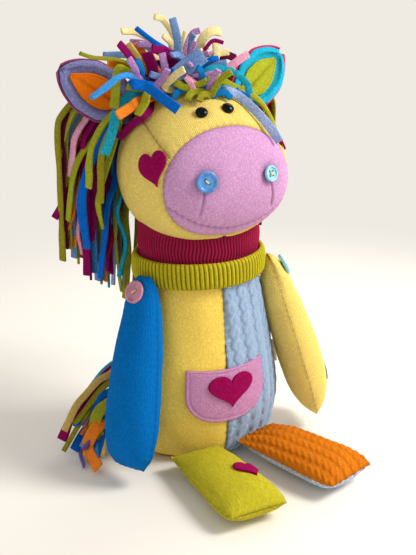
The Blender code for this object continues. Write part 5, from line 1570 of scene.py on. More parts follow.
@dataclass
class Face:
    """What is sewn on the head: bead eyes, nostril buttons and cheek hearts."""

    head: Head
    eye_radius: float = 5.2 * MM
    eye_dome: float = 4.9 * MM
    eye_sink: float = 0.9 * MM
    right_button: Button = Button(9.0 * MM, 2.8 * MM, 2, "azure_plastic")
    left_button: Button = Button(6.8 * MM, 2.8 * MM, 4, "sky_plastic")
    button_sink: float = 0.5 * MM
    heart_width: float = 30.0 * MM
    heart_height: float = 28.5 * MM
    heart_top: float = 2.3 * MM
    heart_turns: tuple[float, float] = (radians(-76.0), radians(56.0))
    heart_sweep: float = radians(55.0)
    heart_spin: float = radians(56.0)

    def seat(self, turn: float, sweep: float, height: float) -> Array:
        """Frame that stands at a height over the head's skin."""
        return frame_at(*stand(self.head.surface, turn, sweep, height))

    def bead(self, name: str, seat: Array) -> bpy.types.Object:
        """Makes a bead: an ellipsoid's upper part that turns in below its widest ring.

        Args:
            name: Name of the piece.
            seat: Its frame.

        Returns:
            The bead.
        """
        angle = np.linspace(0.0, 2.0 * pi, 64, endpoint=False)[None, :]
        rise = np.linspace(0.02, 0.62 * pi, 36)[:, None]
        out = self.eye_radius * np.sin(rise)
        x, y = out * np.cos(angle), out * np.sin(angle)
        high = 0.38 * self.eye_dome + 0.62 * self.eye_dome * np.cos(rise) + 0.0 * angle
        upper = in_frame(seat, join(x, y, high))
        lower = in_frame(seat, join(x * 0.98, y * 0.98, np.minimum(high, 0.0) - 0.6 * MM))
        return closed_disc(name, upper, lower, "eye_black")

    def build(self) -> None:
        """Builds the eyes, the buttons with their stitches and the hearts."""
        for side, eye_turn, heart_turn in zip(Side, self.head.eye_turns, self.heart_turns):
            word = side.word
            seat = self.seat(eye_turn, self.head.eye_sweep, -self.eye_sink)
            put(self.bead(f"{word}_eye_bead", seat), "head", f"{word}_eye")
            button = self.right_button if side is Side.RIGHT else self.left_button
            height = 0.2 * button.radius**2 / self.head.muzzle_reach - self.button_sink
            seat = self.seat(side.value * self.head.nostril_turn, self.head.nostril_sweep, height)
            put(button.build(f"{word}_nostril_disc", seat), "head", f"{word}_nostril_button")
            button.stitches(f"{word}_nostril_strand", seat, "head", (f"{word}_nostril_stitch",))
            heart = Applique(self.heart_width, self.heart_height, side.value * self.heart_spin, self.heart_top)
            heart.sew("head", f"{word}_cheek_heart", self.head.surface, heart_turn, self.heart_sweep)


@dataclass
class Pocket:
    """The patch pocket with the heart sewn on it, and the bare label in the side seam."""

    torso: Torso
    top: float = 95.0 * MM
    bottom: float = 43.0 * MM
    width: float = 82.0 * MM
    felt: float = 2.9 * MM
    hem: float = 3.4 * MM
    heart: Applique = Applique(45.0 * MM, 31.0 * MM, 0.0, 4.9 * MM, 2.1 * MM)
    heart_turn: float = 0.03
    label_bottom: float = 58.0 * MM
    label_top: float = 82.0 * MM
    label_reach: float = 14.2 * MM
    label_thickness: float = 1.0 * MM
    label_bow: float = 0.9 * MM
    label_heading: tuple[float, float, float] = (1.0, 0.25, -0.1)

    def build(self) -> None:
        """Builds the pocket, its heart and the label."""
        level = 0.5 * (self.top + self.bottom) / self.torso.height
        patch = Applique(self.width, self.top - self.bottom, 0.0, self.felt, 2.2 * MM, stitch_inset=self.hem)
        patch.sew("torso", "pocket", self.torso.surface, 0.0, level, pocket_outline, "pocket_felt")
        self.heart.sew("torso", "pocket_heart", self.torso.surface, self.heart_turn, level)
        self.label()

    def label(self) -> None:
        """Builds the label: a folded tape that stands out of the seam and bows a little along its height."""
        rise = np.linspace(self.label_bottom, self.label_top, 16) / self.torso.height
        out = np.linspace(0.0, 1.0, 14)
        seam = np.full(rise.shape, 0.5 * pi)
        near = lift(self.torso.surface, seam, rise, np.full(rise.shape, 0.2 * MM))
        heading = unit(np.array(self.label_heading))
        across = unit(np.cross(heading, UP))
        bow = self.label_bow * np.sin(pi * out)[None, :, None] * across
        reach = near[:, None] + heading * (self.label_reach * out)[None, :, None] + bow
        half = (0.5 * self.label_thickness * np.sqrt(np.maximum(1.0 - out**8, 0.0)))[None, :, None] * across
        tape = put(shell("side_label_tape", reach + half, reach - half, "white_tape"), "torso", "side_label")
        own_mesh(tape)


@dataclass
class Arm:
    """One arm: it hangs from a button at the shoulder, its two panels sewn along the front and the back."""

    side: Side
    finish: str
    tilt: float
    swing: float
    azimuth: float = radians(72.0)
    out: float = 68.0 * MM
    height: float = 163.0 * MM
    length: float = 168.0 * MM
    pivot: float = 13.0 * MM
    half_width: float = 27.0 * MM
    half_outer: float = 23.0 * MM
    half_inner: float = 17.5 * MM
    widths: tuple = ((0.0, 0.30), (0.06, 0.48), (0.18, 0.68), (0.35, 0.83), (0.58, 0.95), (0.78, 1.0),
                     (0.92, 0.93), (1.0, 0.66))
    thicks: tuple = ((0.0, 0.34), (0.06, 0.44), (0.18, 0.62), (0.35, 0.82), (0.58, 0.97), (0.74, 1.0),
                     (0.90, 0.90), (1.0, 0.70))
    under_thicks: tuple = ((0.0, 0.62), (0.06, 0.78), (0.18, 0.92), (0.35, 0.98), (0.58, 1.02), (0.74, 1.02),
                           (0.90, 0.90), (1.0, 0.70))
    button_finish: str = "sky_plastic"
    button_radius: float = 10.0 * MM
    button_thickness: float = 3.4 * MM
    button_tilt: float = radians(12.0)
    button_standoff: float = 2.4 * MM
    pad_height: float = 2.5 * MM
    pad_reach: float = 20.0 * MM
    rib_height: float = 0.16 * MM
    rib_pitch: float = 2.6 * MM
    patch: Applique = Applique(20.0 * MM, 19.0 * MM, 0.0, 2.1 * MM)
    patch_turn: float = radians(78.0)
    patch_sweep: float = radians(128.0)

    def __post_init__(self) -> None:
        """Finds the shoulder's point and axis, and the sleeve."""
        sign = self.side.value
        outward = np.array((sign * sin(self.azimuth), -cos(self.azimuth), 0.0))
        forward = np.array((-sign * cos(self.azimuth), -sin(self.azimuth), 0.0))
        hang = sin(self.tilt) * outward - cos(self.tilt) * UP
        self.axis = cos(self.tilt) * outward + sin(self.tilt) * UP
        along = cos(self.swing) * hang + sin(self.swing) * forward
        broad = -sin(self.swing) * hang + cos(self.swing) * forward
        broad = broad if np.dot(np.cross(along, broad), self.axis) > 0.0 else -broad
        self.point = self.out * outward + self.height * UP
        self.sleeve = Sleeve(self.point - self.pivot * along, along, broad, self.length, self.half_width,
                             self.half_outer, self.half_inner, self.widths, self.thicks, self.under_thicks)
        pivot_sweep = acos(1.0 - 2.0 * self.pivot / self.length)
        skin = self.sleeve.surface(np.array(0.5 * pi), np.array(pivot_sweep))
        self.skin_spot = self.point + self.axis * float(np.dot(skin - self.point, self.axis))

    def shoulder_pad(self, points: Array) -> Array:
        """Fullness under the shoulder's button: a flat bell curve of the distance from it."""
        far = np.linalg.norm(points - self.skin_spot, axis=-1)
        return self.pad_height * np.exp(-((far / self.pad_reach) ** 4))

    def outer_relief(self, points: Array) -> Array:
        """Height of the outer panel: the fullness under the button, and ribs on the right arm."""
        return self.shoulder_pad(points) + (self.ribs(points) if self.side is Side.RIGHT else 0.0)

    def ribs(self, points: Array) -> Array:
        """Faint ribs along the limb, as the square of a sine of the distance across."""
        across, _ = lengths(points)
        return self.rib_height * np.sin(pi * across / self.rib_pitch) ** 2

    def build(self) -> None:
        """Builds the two panels, the filling, the shoulder's button and the patch of the left arm."""
        word = self.side.word
        body = f"{word}_arm"
        inner_relief = self.ribs if self.side is Side.RIGHT else None
        for layer, way, relief in (("outer", 1, self.outer_relief), ("inner", -1, inner_relief)):
            node = f"{word}_arm_{layer}"
            put(self.sleeve.panel(node + "_cloth", way, self.finish, relief, (96, 156)), body, node)
        put(self.sleeve.filling(f"{word}_arm_filling_body"), body, f"{word}_arm_filling", fill=0.8)
        seat = frame_at(self.skin_spot + self.axis * self.button_standoff,
                        self.axis + tan(self.button_tilt) * UP, self.sleeve.broad)
        button = Button(self.button_radius, self.button_thickness, 2, self.button_finish)
        put(button.build(f"{word}_shoulder_disc", seat), body, f"{word}_shoulder_button")
        button.stitches(f"{word}_shoulder_strand", seat, body, ())
        if self.side is Side.LEFT:
            self.patch.sew(body, "left_arm_patch", self.sleeve.surface, self.patch_turn, self.patch_sweep,
                           finish="navy_felt")


@dataclass
class Leg:
    """One leg: a top panel and a sole panel that lie flat on the ground, sewn flat at the hip and the foot."""

    side: Side
    splay: float
    finishes: dict
    forward: float = 52.5 * MM
    height: float = 15.2 * MM
    aside: float = 33.0 * MM
    length: float = 113.0 * MM
    half_width: float = 29.0 * MM
    half_thick: float = 14.8 * MM
    cable_pitch: float = 11.0 * MM
    cable_turn: float = 15.0 * MM
    cable_height: float = 1.8 * MM
    heart: Applique = Applique(24.0 * MM, 23.0 * MM, pi, 2.3 * MM)
    heart_turn: float = radians(57.0)
    heart_sweep: float = radians(105.0)
    widths: tuple = ((0.0, 0.86), (0.2, 0.88), (0.5, 0.93), (0.8, 1.0), (0.93, 0.99), (1.0, 0.90))
    thicks: tuple = ((0.0, 0.22), (0.07, 0.42), (0.18, 0.72), (0.32, 0.94), (0.5, 1.0), (0.85, 1.0), (1.0, 0.86))

    def __post_init__(self) -> None:
        """Finds the sleeve."""
        along = np.array((sin(self.splay), -cos(self.splay), 0.0))
        broad = np.array((cos(self.splay), sin(self.splay), 0.0))
        inward = 0.5 * self.aside * tan(self.splay)
        root = np.array((self.side.value * self.aside, inward - self.forward, self.height))
        self.sleeve = Sleeve(root, along, broad, self.length, self.half_width, self.half_thick, self.half_thick,
                             self.widths, self.thicks)

    def build(self) -> None:
        """Builds the two panels and the filling."""
        word = self.side.word
        body = f"{word}_leg"
        for layer, way in (("top", 1), ("sole", -1)):
            finish = self.finishes[layer]
            relief = self.cables if "cable" in finish else None
            node = f"{word}_leg_{layer}"
            put(self.sleeve.panel(node + "_cloth", way, finish, relief, (92, 142)), body, node)
        put(self.sleeve.filling(f"{word}_leg_filling_body"), body, f"{word}_leg_filling", fill=0.7)
        if self.side is Side.RIGHT:
            self.heart.sew(body, "right_leg_heart", self.sleeve.surface, self.heart_turn, self.heart_sweep)

    def cables(self, points: Array) -> Array:
        """Relief of the leg's small cables over the points."""
        return cable_relief(points, self.cable_pitch, self.cable_turn, self.cable_height)


@dataclass
class Neck:
    """The neck: a thick rolled cuff of ribbed knit on the torso, and the ribbed collar that stands in it."""

    torso: Torso
    head: Head
    cuff_bottom: float = 166.0 * MM
    cuff_top: float = 188.0 * MM
    cuff_wall: float = 3.6 * MM
    collar_wall: float = 4.6 * MM
    split: float = 190.0 * MM
    cuff_ribs: int = 92
    collar_ribs: int = 110
    rib_slant: float = 0.8
    rib_height: float = 1.5 * MM
    collar_inset: float = 1.0 * MM
    collar_bulge: float = 1.1 * MM

    def oval(self, angle: Array, grow: Array, height: Array) -> Array:
        """Points of an oval ring round the neck.

        Args:
            angle: Turn from the front.
            grow: Distance outside the torso's upper oval.
            height: Height.

        Returns:
            The points.
        """
        wide = self.torso.half_width * self.torso.widths[-2][1] + grow
        deep = self.torso.half_depth * self.torso.depths[-2][1] + grow
        return join(wide * np.sin(angle), -deep * np.cos(angle), height)

    def build(self) -> None:
        """Builds the cuff, the two halves of the collar and the filling."""
        count = self.cuff_ribs * 8
        around, angle = np.meshgrid(np.linspace(0.0, 2.0 * pi, 33)[:-1],
                                    np.linspace(-pi, pi, count + 1)[:-1], indexing="ij")
        phase = 0.5 * self.cuff_ribs * angle + self.rib_slant * np.sin(around)
        rib = np.abs(np.sin(phase)) ** 0.8
        middle = 0.5 * (self.cuff_bottom + self.cuff_top)
        half_high = 0.5 * (self.cuff_top - self.cuff_bottom) + 0.6 * MM
        outside = np.cos(around)
        bulge = np.sign(outside) * np.abs(outside) ** 0.6 * (0.5 * self.cuff_wall + 0.5 * MM)
        grow = 0.5 * self.cuff_wall + bulge + np.maximum(outside, 0.0) * (0.3 * MM + self.rib_height * rib)
        sag = ripple(join(np.sin(angle), np.cos(angle), 0.0 * angle), 1.4, 5) * 0.8 * MM
        rise = middle + np.sign(np.sin(around)) * np.abs(np.sin(around)) ** 0.7 * half_high + sag
        rings = self.oval(angle, grow, rise)
        faces = grid_faces(rings.shape[0], count, True)
        last = (rings.shape[0] - 1) * count + np.arange(count)
        first = np.arange(count)
        faces = np.concatenate((faces, strip_faces(np.append(last, last[0]), np.append(first, first[0]))))
        roll = add_mesh("neck_cuff_roll", rings, faces[:, ::-1], "lime_rib", join(phase / pi, around))
        put(roll, "torso", "neck_cuff")
        self.collar()

    def collar(self) -> None:
        """Builds the two halves of the collar, whose rim follows the head's underside, and the filling."""
        count = self.collar_ribs * 6
        angle = np.linspace(-pi, pi, count + 1)[:-1]
        grow = -self.collar_inset
        foot = self.torso.height + 0.6 * MM
        ring = self.oval(angle, np.full(count, grow), np.zeros(count))
        rim = self.head.underside(ring[:, 0], ring[:, 1]) + 2.4 * MM
        split = np.full(count, self.split)
        halves = (("neck_collar_low", np.full(count, foot), split, ("torso", "neck")),
                  ("neck_collar_high", split, rim, ("neck", "head")))
        for name, low, high, bodies in halves:
            share = np.linspace(0.0, 1.0, 24)[:, None]
            height = low + share * (high - low)
            level = (height - self.split) / (20.0 * MM)
            bulge = self.collar_bulge * np.sin(np.clip(level, 0.0, 1.0) * pi)
            turn = np.broadcast_to(angle, height.shape)
            phase = 0.5 * self.collar_ribs * turn + 0.6 * np.sin(height / (3.2 * MM) + 5.0 * turn)
            rib = self.rib_height * np.abs(np.sin(phase)) ** 0.8
            outer = self.oval(turn, grow + bulge + rib - 1.3 * MM, height)
            inner = self.oval(turn, np.full(height.shape, grow - self.collar_wall), height)
            piece = shell(name, outer, inner, "burgundy_rib", True, cloth=join(phase / pi, height))
            if bodies[0] == "torso":
                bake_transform(piece)
            else:
                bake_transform(piece)
            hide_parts("neck_collar")
        share = np.linspace(0.0, 1.0, 10)[:, None]
        small = angle[::16]
        ring = self.oval(small, np.full(small.shape, grow - self.collar_wall - 0.4 * MM), 0.0 * small)
        rim = self.head.underside(ring[:, 0], ring[:, 1]) - 2.0 * MM
        height = foot + share * (rim - foot)
        body = join(np.broadcast_to(ring[None, :, 0], height.shape), ring[None, :, 1], height)
        put(closed_rings("neck_filling_body", body, "stuffing"), "neck", "neck_filling", fill=0.8)


@dataclass
class Ear:
    """One ear: a back and a front of felt and a pointed inner leaf, pinched at the root."""

    side: Side
    finishes: tuple[str, str, str]
    length: float = 74.0 * MM
    width: float = 47.0 * MM
    cup: float = 9.0 * MM
    layer: float = 2.2 * MM
    gap: float = 0.4 * MM
    inner_share: float = 0.62
    root: tuple = (49.5 * MM, 24.0 * MM, 309.0 * MM)
    tip: tuple = (113.0 * MM, 41.0 * MM, 352.0 * MM)
    widths: tuple = ((0.0, 26.0 / 47.0), (0.18, 0.72), (0.42, 1.0), (0.62, 0.98), (0.8, 0.76), (0.93, 0.42),
                     (1.0, 0.10))

    def __post_init__(self) -> None:
        """Finds the ear's directions."""
        sign = np.array((self.side.value, 1.0, 1.0))
        self.start = np.array(self.root) * sign
        self.along = unit(np.array(self.tip) * sign - self.start)
        facing = np.array((self.side.value * -0.10, -1.0, 0.12))
        self.facing = unit(facing - self.along * np.dot(self.along, facing))
        self.across = np.cross(self.along, self.facing)

    def surface(self, turn: Array, step: Array) -> Array:
        """Middle surface: a pointed leaf whose edges curl forward as the square of the share across.

        Args:
            turn: Share across, from -1 to 1.
            step: Share along.

        Returns:
            The points.
        """
        half = 0.5 * self.width * follow(self.widths, step)
        cup = self.cup * turn**2 * (1.0 - 0.55 * step) - 0.5 * self.cup
        return (self.start + self.along * (self.length * step)[..., None] + self.across * (half * turn)[..., None]
                + self.facing * cup[..., None])

    def layer_piece(self, name: str, turn: Array, step: Array, top: float, finish: str,
                    puff: float = 0.0, fold: float = 0.0) -> None:
        """Makes one felt layer with rounded edges and a line of stitches that pulls it in near its rim, with
        painted shade in its fold and along the stitches.

        Args:
            name: CAD node that it stands for.
            turn: Shares across by row and column.
            step: Shares along by row and column.
            top: Height of its face over the middle surface.
            finish: Name of its finish.
            puff: How far a band along its rim is padded out, as a bell curve of the distance from the rim.
            fold: Depth of the fold along its middle, deepest at the root.
        """
        plain = self.surface(turn, step)
        across, down = lengths(plain)
        rim = np.minimum(np.minimum(across, across[:, -1:] - across), np.minimum(down, down[-1:, :] - down))
        round_off = 0.8 * MM * np.exp(-rim / (0.7 * MM))
        stitch = 0.35 * MM * np.exp(-(((rim - 2.6 * MM) / (0.8 * MM)) ** 2)) * (puff == 0.0)
        wave = ripple(plain, 26.0 * MM, 17) * 0.5 * MM
        aside = across - across[:, across.shape[1] // 2][:, None]
        crease = fold * np.exp(-((aside / (2.2 * MM)) ** 2)) * (1.0 - 0.75 * step)
        band = puff * np.exp(-(((rim - 4.0 * MM) / (3.0 * MM)) ** 2))
        outer = lift(self.surface, turn, step, top - round_off - stitch + wave + band - crease)
        inner = lift(self.surface, turn, step, top - self.layer + 0.5 * round_off + wave)
        # Painted shade in the middle fold and along the line of stitches
        depth = seam_shade(-1.3 * crease - 1.6 * stitch)
        put(shell(name + "_felt", outer, inner, finish, crease=depth), f"{self.side.word}_ear", name)

    def build(self) -> None:
        """Builds the three layers."""
        word = self.side.word
        turn, step = np.meshgrid(np.linspace(-1.0, 1.0, 56), np.linspace(0.0, 1.0, 88))
        back, front, leaf = self.finishes
        self.layer_piece(word + "_ear_back", turn, step, -0.2 * MM, back)
        self.layer_piece(word + "_ear_front", turn * 0.985, step * 0.99, self.layer + self.gap, front, 2.4 * MM)
        narrow = np.sin(np.pi * np.clip(step * 0.93 + 0.045, 0.0, 1.0)) ** 0.6
        self.layer_piece(word + "_ear_inner", turn * narrow * self.inner_share, 0.10 + step * 0.76,
                         2.0 * (self.layer + self.gap), leaf, fold=1.6 * MM)


# Strips of the mane: colour, width and path from root to tip, in millimetres
CROWN_STRIPS = (
    ("royal", 4.2, ((0, 22, 328), (-16, 10, 356), (-24, 9, 363), (-40, 6, 372), (-55, 4, 383))),
    ("cornflower", 6.7, ((6, 14, 329), (-16, 6, 353), (-16, 6, 363), (-17, 6, 374), (-21, 6, 389))),
    ("cream", 5.1, ((0, 33, 324), (-9, 24, 355), (-12, 25, 365), (-20, 26, 373))),
    ("cream", 3.4, ((4, 30, 325), (-5, 24, 353), (-3, 25, 365), (1, 26, 375))),
    ("cream", 8.6, ((10, 19, 328), (6, 14, 350), (8, 13, 363), (12, 12, 371), (19, 11, 376),
      (27, 10, 375))),
    ("magenta", 3.4, ((12, 12, 329), (6, 8, 353), (11, 5, 364), (17, 4, 369), (25, 2, 367))),
    ("cream", 6.0, ((15, 7, 329), (16, 2, 338), (19, 3, 349), (19, 4, 367))),
    ("royal", 5.1, ((8, 2, 329), (3, 0, 344), (5, -1, 349), (10, -3, 354), (17, -4, 355))),
    ("burgundy", 6.9, ((16, 12, 328), (19, 10, 341), (24, 9, 351), (32, 9, 355), (41, 8, 352))),
    ("pink", 6.9, ((19, 5, 328), (25, 4, 333), (29, 3, 343), (38, 1, 350), (49, 0, 356))),
    ("denim", 14.1, ((2, -1, 330), (-27, -8, 341), (-23, -10, 347), (-15, -13, 353), (-4, -16, 361))),
    ("lilac", 5.1, ((6, 14, 329), (-9, 6, 349), (-5, 5, 359), (-1, 4, 369))),
    ("turquoise", 5.9, ((8, -6, 329), (1, -8, 342), (4, -10, 347), (14, -12, 348), (26, -16, 344),
      (36, -19, 335), (38, -22, 326))),
    ("azure", 5.9, ((6, -13, 328), (-5, -16, 335), (7, -18, 333), (21, -21, 329), (36, -24, 324))),
    ("lime", 6.8, ((6, -9, 329), (1, -12, 339), (12, -15, 339), (25, -20, 331))),
    ("lilac", 3.3, ((3, -6, 329), (-14, -12, 342), (-3, -15, 344), (5, -18, 346))),
    ("pink", 5.0, ((1, -11, 328), (-19, -16, 343), (-17, -18, 339), (-15, -20, 333))),
    ("lime", 5.8, ((-3, -9, 329), (-27, -12, 339), (-23, -15, 336), (-18, -18, 334))),
    ("lime", 5.8, ((3, -10, 329), (-12, -14, 335), (-7, -17, 337), (-3, -20, 340))),
    ("cream", 6.6, ((-9, -3, 329), (-35, -8, 335), (-31, -16, 345), (-25, -22, 351))),
    ("lilac", 5.8, ((-12, -1, 329), (-42, -6, 335), (-39, -11, 343), (-37, -16, 351))),
    ("lilac", 6.7, ((-10, 5, 329), (-34, 0, 338), (-32, -1, 348), (-35, -2, 362))),
    ("magenta", 10.0, ((-14, 10, 328), (-38, 4, 338), (-42, 3, 352), (-47, 2, 363))),
    ("magenta", 8.4, ((-8, 14, 329), (-23, 8, 345), (-20, 7, 353), (-28, 7, 362), (-40, 6, 366))),
    ("magenta", 6.6, ((-16, 21, 326), (-49, 12, 346), (-56, 11, 357), (-68, 10, 371))),
    ("tan", 5.0, ((-14, 19, 327), (-43, 12, 347), (-52, 11, 360), (-60, 10, 370))),
    ("orange", 8.5, ((-8, 30, 325), (-37, 26, 353), (-41, 26, 360), (-48, 26, 366))),
    ("lilac", 5.8, ((-18, 14, 327), (-53, 2, 341), (-59, 0, 351), (-65, -2, 360))),
    ("azure", 5.0, ((-16, 12, 328), (-48, 4, 340), (-52, 2, 349), (-57, 0, 358))),
    ("olive", 3.3, ((-17, 30, 323), (-55, 14, 350), (-67, 11, 357), (-83, 8, 360), (-94, 6, 362),
      (-105, 4, 366))),
    ("orange", 6.7, ((-17, 32, 322), (-53, 20, 345), (-63, 18, 352), (-76, 16, 354))),
    ("sky", 5.7, ((-20, 14, 326), (-55, 0, 337), (-65, -3, 346), (-77, -6, 346), (-89, -10, 340),
      (-104, -14, 333))),
    ("royal", 9.0, ((-15, 7, 329), (-65, -10, 340), (-57, -16, 339), (-48, -24, 331), (-37, -34, 321))),
    ("turquoise", 8.3, ((-22, 23, 324), (-52, 4, 330), (-65, 4, 327), (-74, 5, 316), (-79, 5, 299),
      (-86, 6, 281))),
    ("orange", 8.2, ((-22, 19, 325), (-57, -4, 325), (-67, -7, 321), (-80, -10, 316))),
    ("lime", 7.4, ((-18, 12, 327), (-50, -8, 332), (-56, -11, 324), (-64, -14, 316))),
    ("lime", 7.4, ((-25, 30, 321), (-65, 8, 349), (-72, 7, 347), (-76, 3, 328), (-78, 2, 320))),
    ("magenta", 6.7, ((-21, 30, 322), (-52, -5, 314), (-61, 4, 304), (-70, 12, 292))),
    ("periwinkle", 7.6, ((14, -11, 327), (13, -24, 331), (26, -25, 325), (33, -42, 314),
      (40, -53, 302), (45, -60, 291))),
    ("royal", 5.9, ((2, 2, 330), (-10, -4, 335), (-19, -7, 343), (-30, -10, 348))),
    ("denim", 5.8, ((-4, 10, 330), (-26, 2, 336), (-36, 0, 342), (-46, -2, 346))),
    ("lime", 5.8, ((-12, 21, 327), (-43, 6, 333), (-53, 3, 334), (-66, 0, 337))),
    ("burgundy", 6.8, ((-4, 23, 327), (-22, 14, 346), (-31, 14, 355), (-40, 14, 355))),
)
LOCK_STRIPS = (
    ("lime", 6.9, ((-13, 47, 313), (-75, 46, 326), (-93, 50, 313), (-101, 54, 296), (-106, 58, 271))),
    ("azure", 5.2, ((-11, 51, 310), (-71, 52, 318), (-83, 56, 298), (-96, 59, 281), (-105, 62, 267))),
    ("pink", 6.9, ((-13, 46, 314), (-71, 44, 319), (-86, 46, 303), (-96, 47, 288), (-98, 49, 271),
      (-100, 50, 254))),
    ("magenta", 7.0, ((-10, 54, 307), (-62, 48, 318), (-76, 50, 298), (-90, 52, 276), (-99, 55, 244),
      (-105, 57, 230), (-114, 58, 216))),
    ("lime", 7.8, ((-15, 44, 315), (-60, 38, 313), (-73, 40, 295), (-92, 42, 275), (-101, 43, 254),
      (-106, 46, 216))),
    ("orange", 4.4, ((-9, 56, 305), (-66, 52, 307), (-86, 54, 263), (-98, 57, 214), (-109, 58, 197))),
    ("royal", 8.7, ((-17, 40, 317), (-62, 30, 311), (-78, 32, 286), (-89, 33, 266), (-97, 35, 234),
      (-92, 38, 190))),
    ("magenta", 8.8, ((-14, 47, 312), (-58, 36, 309), (-71, 38, 291), (-79, 40, 259), (-83, 42, 223),
      (-87, 44, 195))),
    ("lime", 6.9, ((-22, 34, 319), (-62, 14, 320), (-69, 17, 296), (-76, 19, 274), (-82, 21, 255),
      (-86, 24, 234), (-82, 26, 211))),
    ("pink", 4.5, ((-8, 57, 304), (-61, 50, 300), (-82, 52, 248), (-94, 53, 207), (-91, 54, 180))),
    ("orange", 4.5, ((-6, 60, 300), (-58, 54, 296), (-82, 57, 238), (-94, 59, 198), (-96, 60, 186))),
    ("royal", 7.1, ((-11, 56, 305), (-43, 58, 288), (-64, 37, 246), (-73, 33, 228), (-83, 32, 162))),
    ("lime", 7.2, ((-8, 60, 300), (-36, 65, 277), (-59, 42, 233), (-63, 42, 200), (-59, 42, 143))),
    ("turquoise", 4.5, ((-6, 62, 296), (-30, 70, 266), (-60, 36, 233), (-63, 36, 216), (-56, 35, 191),
      (-64, 34, 160))),
    ("lime", 7.3, ((-5, 63, 294), (-30, 69, 257), (-50, 47, 214), (-49, 47, 179), (-53, 46, 133))),
    ("olive", 5.6, ((-3, 65, 290), (-22, 71, 246), (-37, 52, 203), (-42, 52, 135))),
    ("lime", 7.2, ((-6, 61, 298), (-56, 54, 290), (-73, 56, 228), (-82, 58, 171))),
    ("periwinkle", 4.6, ((-3, 66, 288), (-40, 64, 268), (-55, 58, 206), (-60, 58, 144))),
    ("violet", 7.1, ((-7, 58, 302), (-68, 56, 300), (-89, 58, 248), (-94, 60, 194))),
    ("burgundy", 7.2, ((-5, 62, 296), (-52, 60, 288), (-72, 62, 245), (-84, 64, 197))),
    ("crimson", 4.6, ((-4, 64, 292), (-38, 66, 268), (-56, 50, 214), (-68, 50, 174))),
)
# Strips of the tail: colour, width, height of the root, and path beyond the torso's side, in millimetres
TAIL_STRIPS = (
    ("tan", 6.5, 63, ((-74, 36, 65), (-88, 33, 62), (-103, 30, 52), (-114, 27, 44), (-128, 22, 25))),
    ("burgundy", 6.5, 55, ((-78, 37, 57), (-95, 34, 47), (-109, 30, 34))),
    ("olive", 5.6, 58, ((-75, 33, 60), (-88, 30, 53), (-104, 26, 40), (-118, 22, 29))),
    ("royal", 6.5, 50, ((-77, 29, 52), (-91, 26, 47), (-98, 23, 34), (-102, 20, 18))),
    ("lime", 11.1, 43, ((-80, 21, 45), (-94, 17, 40), (-101, 14, 29), (-97, 10, 11))),
    ("magenta", 11.1, 36, ((-96, 37, 38), (-114, 33, 34), (-129, 28, 13))),
    ("olive", 4.6, 36, ((-98, 27, 38), (-113, 23, 27), (-122, 20, 18), (-132, 16, 8))),
    ("royal", 9.3, 23, ((-94, 28, 25), (-108, 24, 17), (-122, 15, 7))),
    ("lilac", 4.6, 37, ((-84, 32, 39), (-99, 28, 34), (-109, 24, 24))),
    ("orange", 3.7, 28, ((-85, 30, 30), (-99, 26, 26), (-112, 22, 17))),
    ("orange", 10.9, 28, ((-92, 15, 30), (-105, 9, 24), (-113, 4, 12), (-116, -27, 8))),
    ("royal", 5.5, 28, ((-92, 15, 30), (-101, 12, 22), (-107, 8, 11))),
    ("royal", 4.6, 24, ((-87, 12, 26), (-96, 8, 16), (-107, -4, 5))),
    ("violet", 4.6, 23, ((-93, 22, 25), (-108, 17, 17), (-117, 12, 5), (-124, -13, 5))),
    ("tan", 3.7, 20, ((-87, 9, 22), (-96, 4, 12), (-104, -7, 5))),
)

# Ruled tufts of the crown: shares of a full turn, of the greatest height and of the greatest reach
CROWN_UP_SHARES = ((0.69, 0.50, 0.17), (0.91, 0.42, 0.14), (0.90, 0.68, 0.06), (0.54, 0.98, 0.30),
                   (0.93, 0.78, 0.22), (0.55, 0.90, 0.60), (0.87, 0.75, 0.06), (0.50, 0.78, 0.24))
CROWN_RIGHT_SHARES = ((0.63, 0.34, 0.28), (0.58, 0.46, 0.34), (0.55, 0.44, 0.50), (0.53, 0.62, 0.50),
                      (0.52, 0.54, 0.60), (0.51, 0.70, 0.44), (0.53, 0.62, 0.74), (0.55, 0.60, 0.48))
CROWN_LEFT_SHARES = ((0.94, 0.30, 0.26), (0.97, 0.42, 0.34), (0.98, 0.40, 0.30), (0.00, 0.50, 0.26),
                     (0.02, 0.42, 0.28), (0.03, 0.50, 0.20), (0.05, 0.42, 0.26), (0.07, 0.46, 0.18))


def between(ends: tuple[float, float], share: float) -> float:
    """The value at a share of the way between two ends.

    Args:
        ends: The two values.
        share: The share.

    Returns:
        The value.
    """
    return ends[0] + (ends[1] - ends[0]) * share


def smooth_path(points: Array, spacing: float) -> Array:
    """Points at even steps of a smooth curve that passes through the given points.

    The curve is a Catmull-Rom spline, whose slope at a point is half the step between its two neighbours.

    Args:
        points: Points to pass through.
        spacing: Rough distance from point to point.

    Returns:
        The points of the curve.
    """
    ends = np.vstack((2.0 * points[0] - points[1], points, 2.0 * points[-1] - points[-2]))
    spans = len(points) - 1
    total = float(np.linalg.norm(np.diff(points, axis=0), axis=1).sum())
    share = np.linspace(0.0, spans, max(12, int(total / spacing)))
    k = np.minimum(share.astype(int), spans - 1)
    t = (share - k)[:, None]
    a, b, c, d = ends[k], ends[k + 1], ends[k + 2], ends[k + 3]
    return 0.5 * (2.0 * b + (c - a) * t + (2.0 * a - 5.0 * b + 4.0 * c - d) * t**2
                  + (3.0 * b - a - 3.0 * c + d) * t**3)


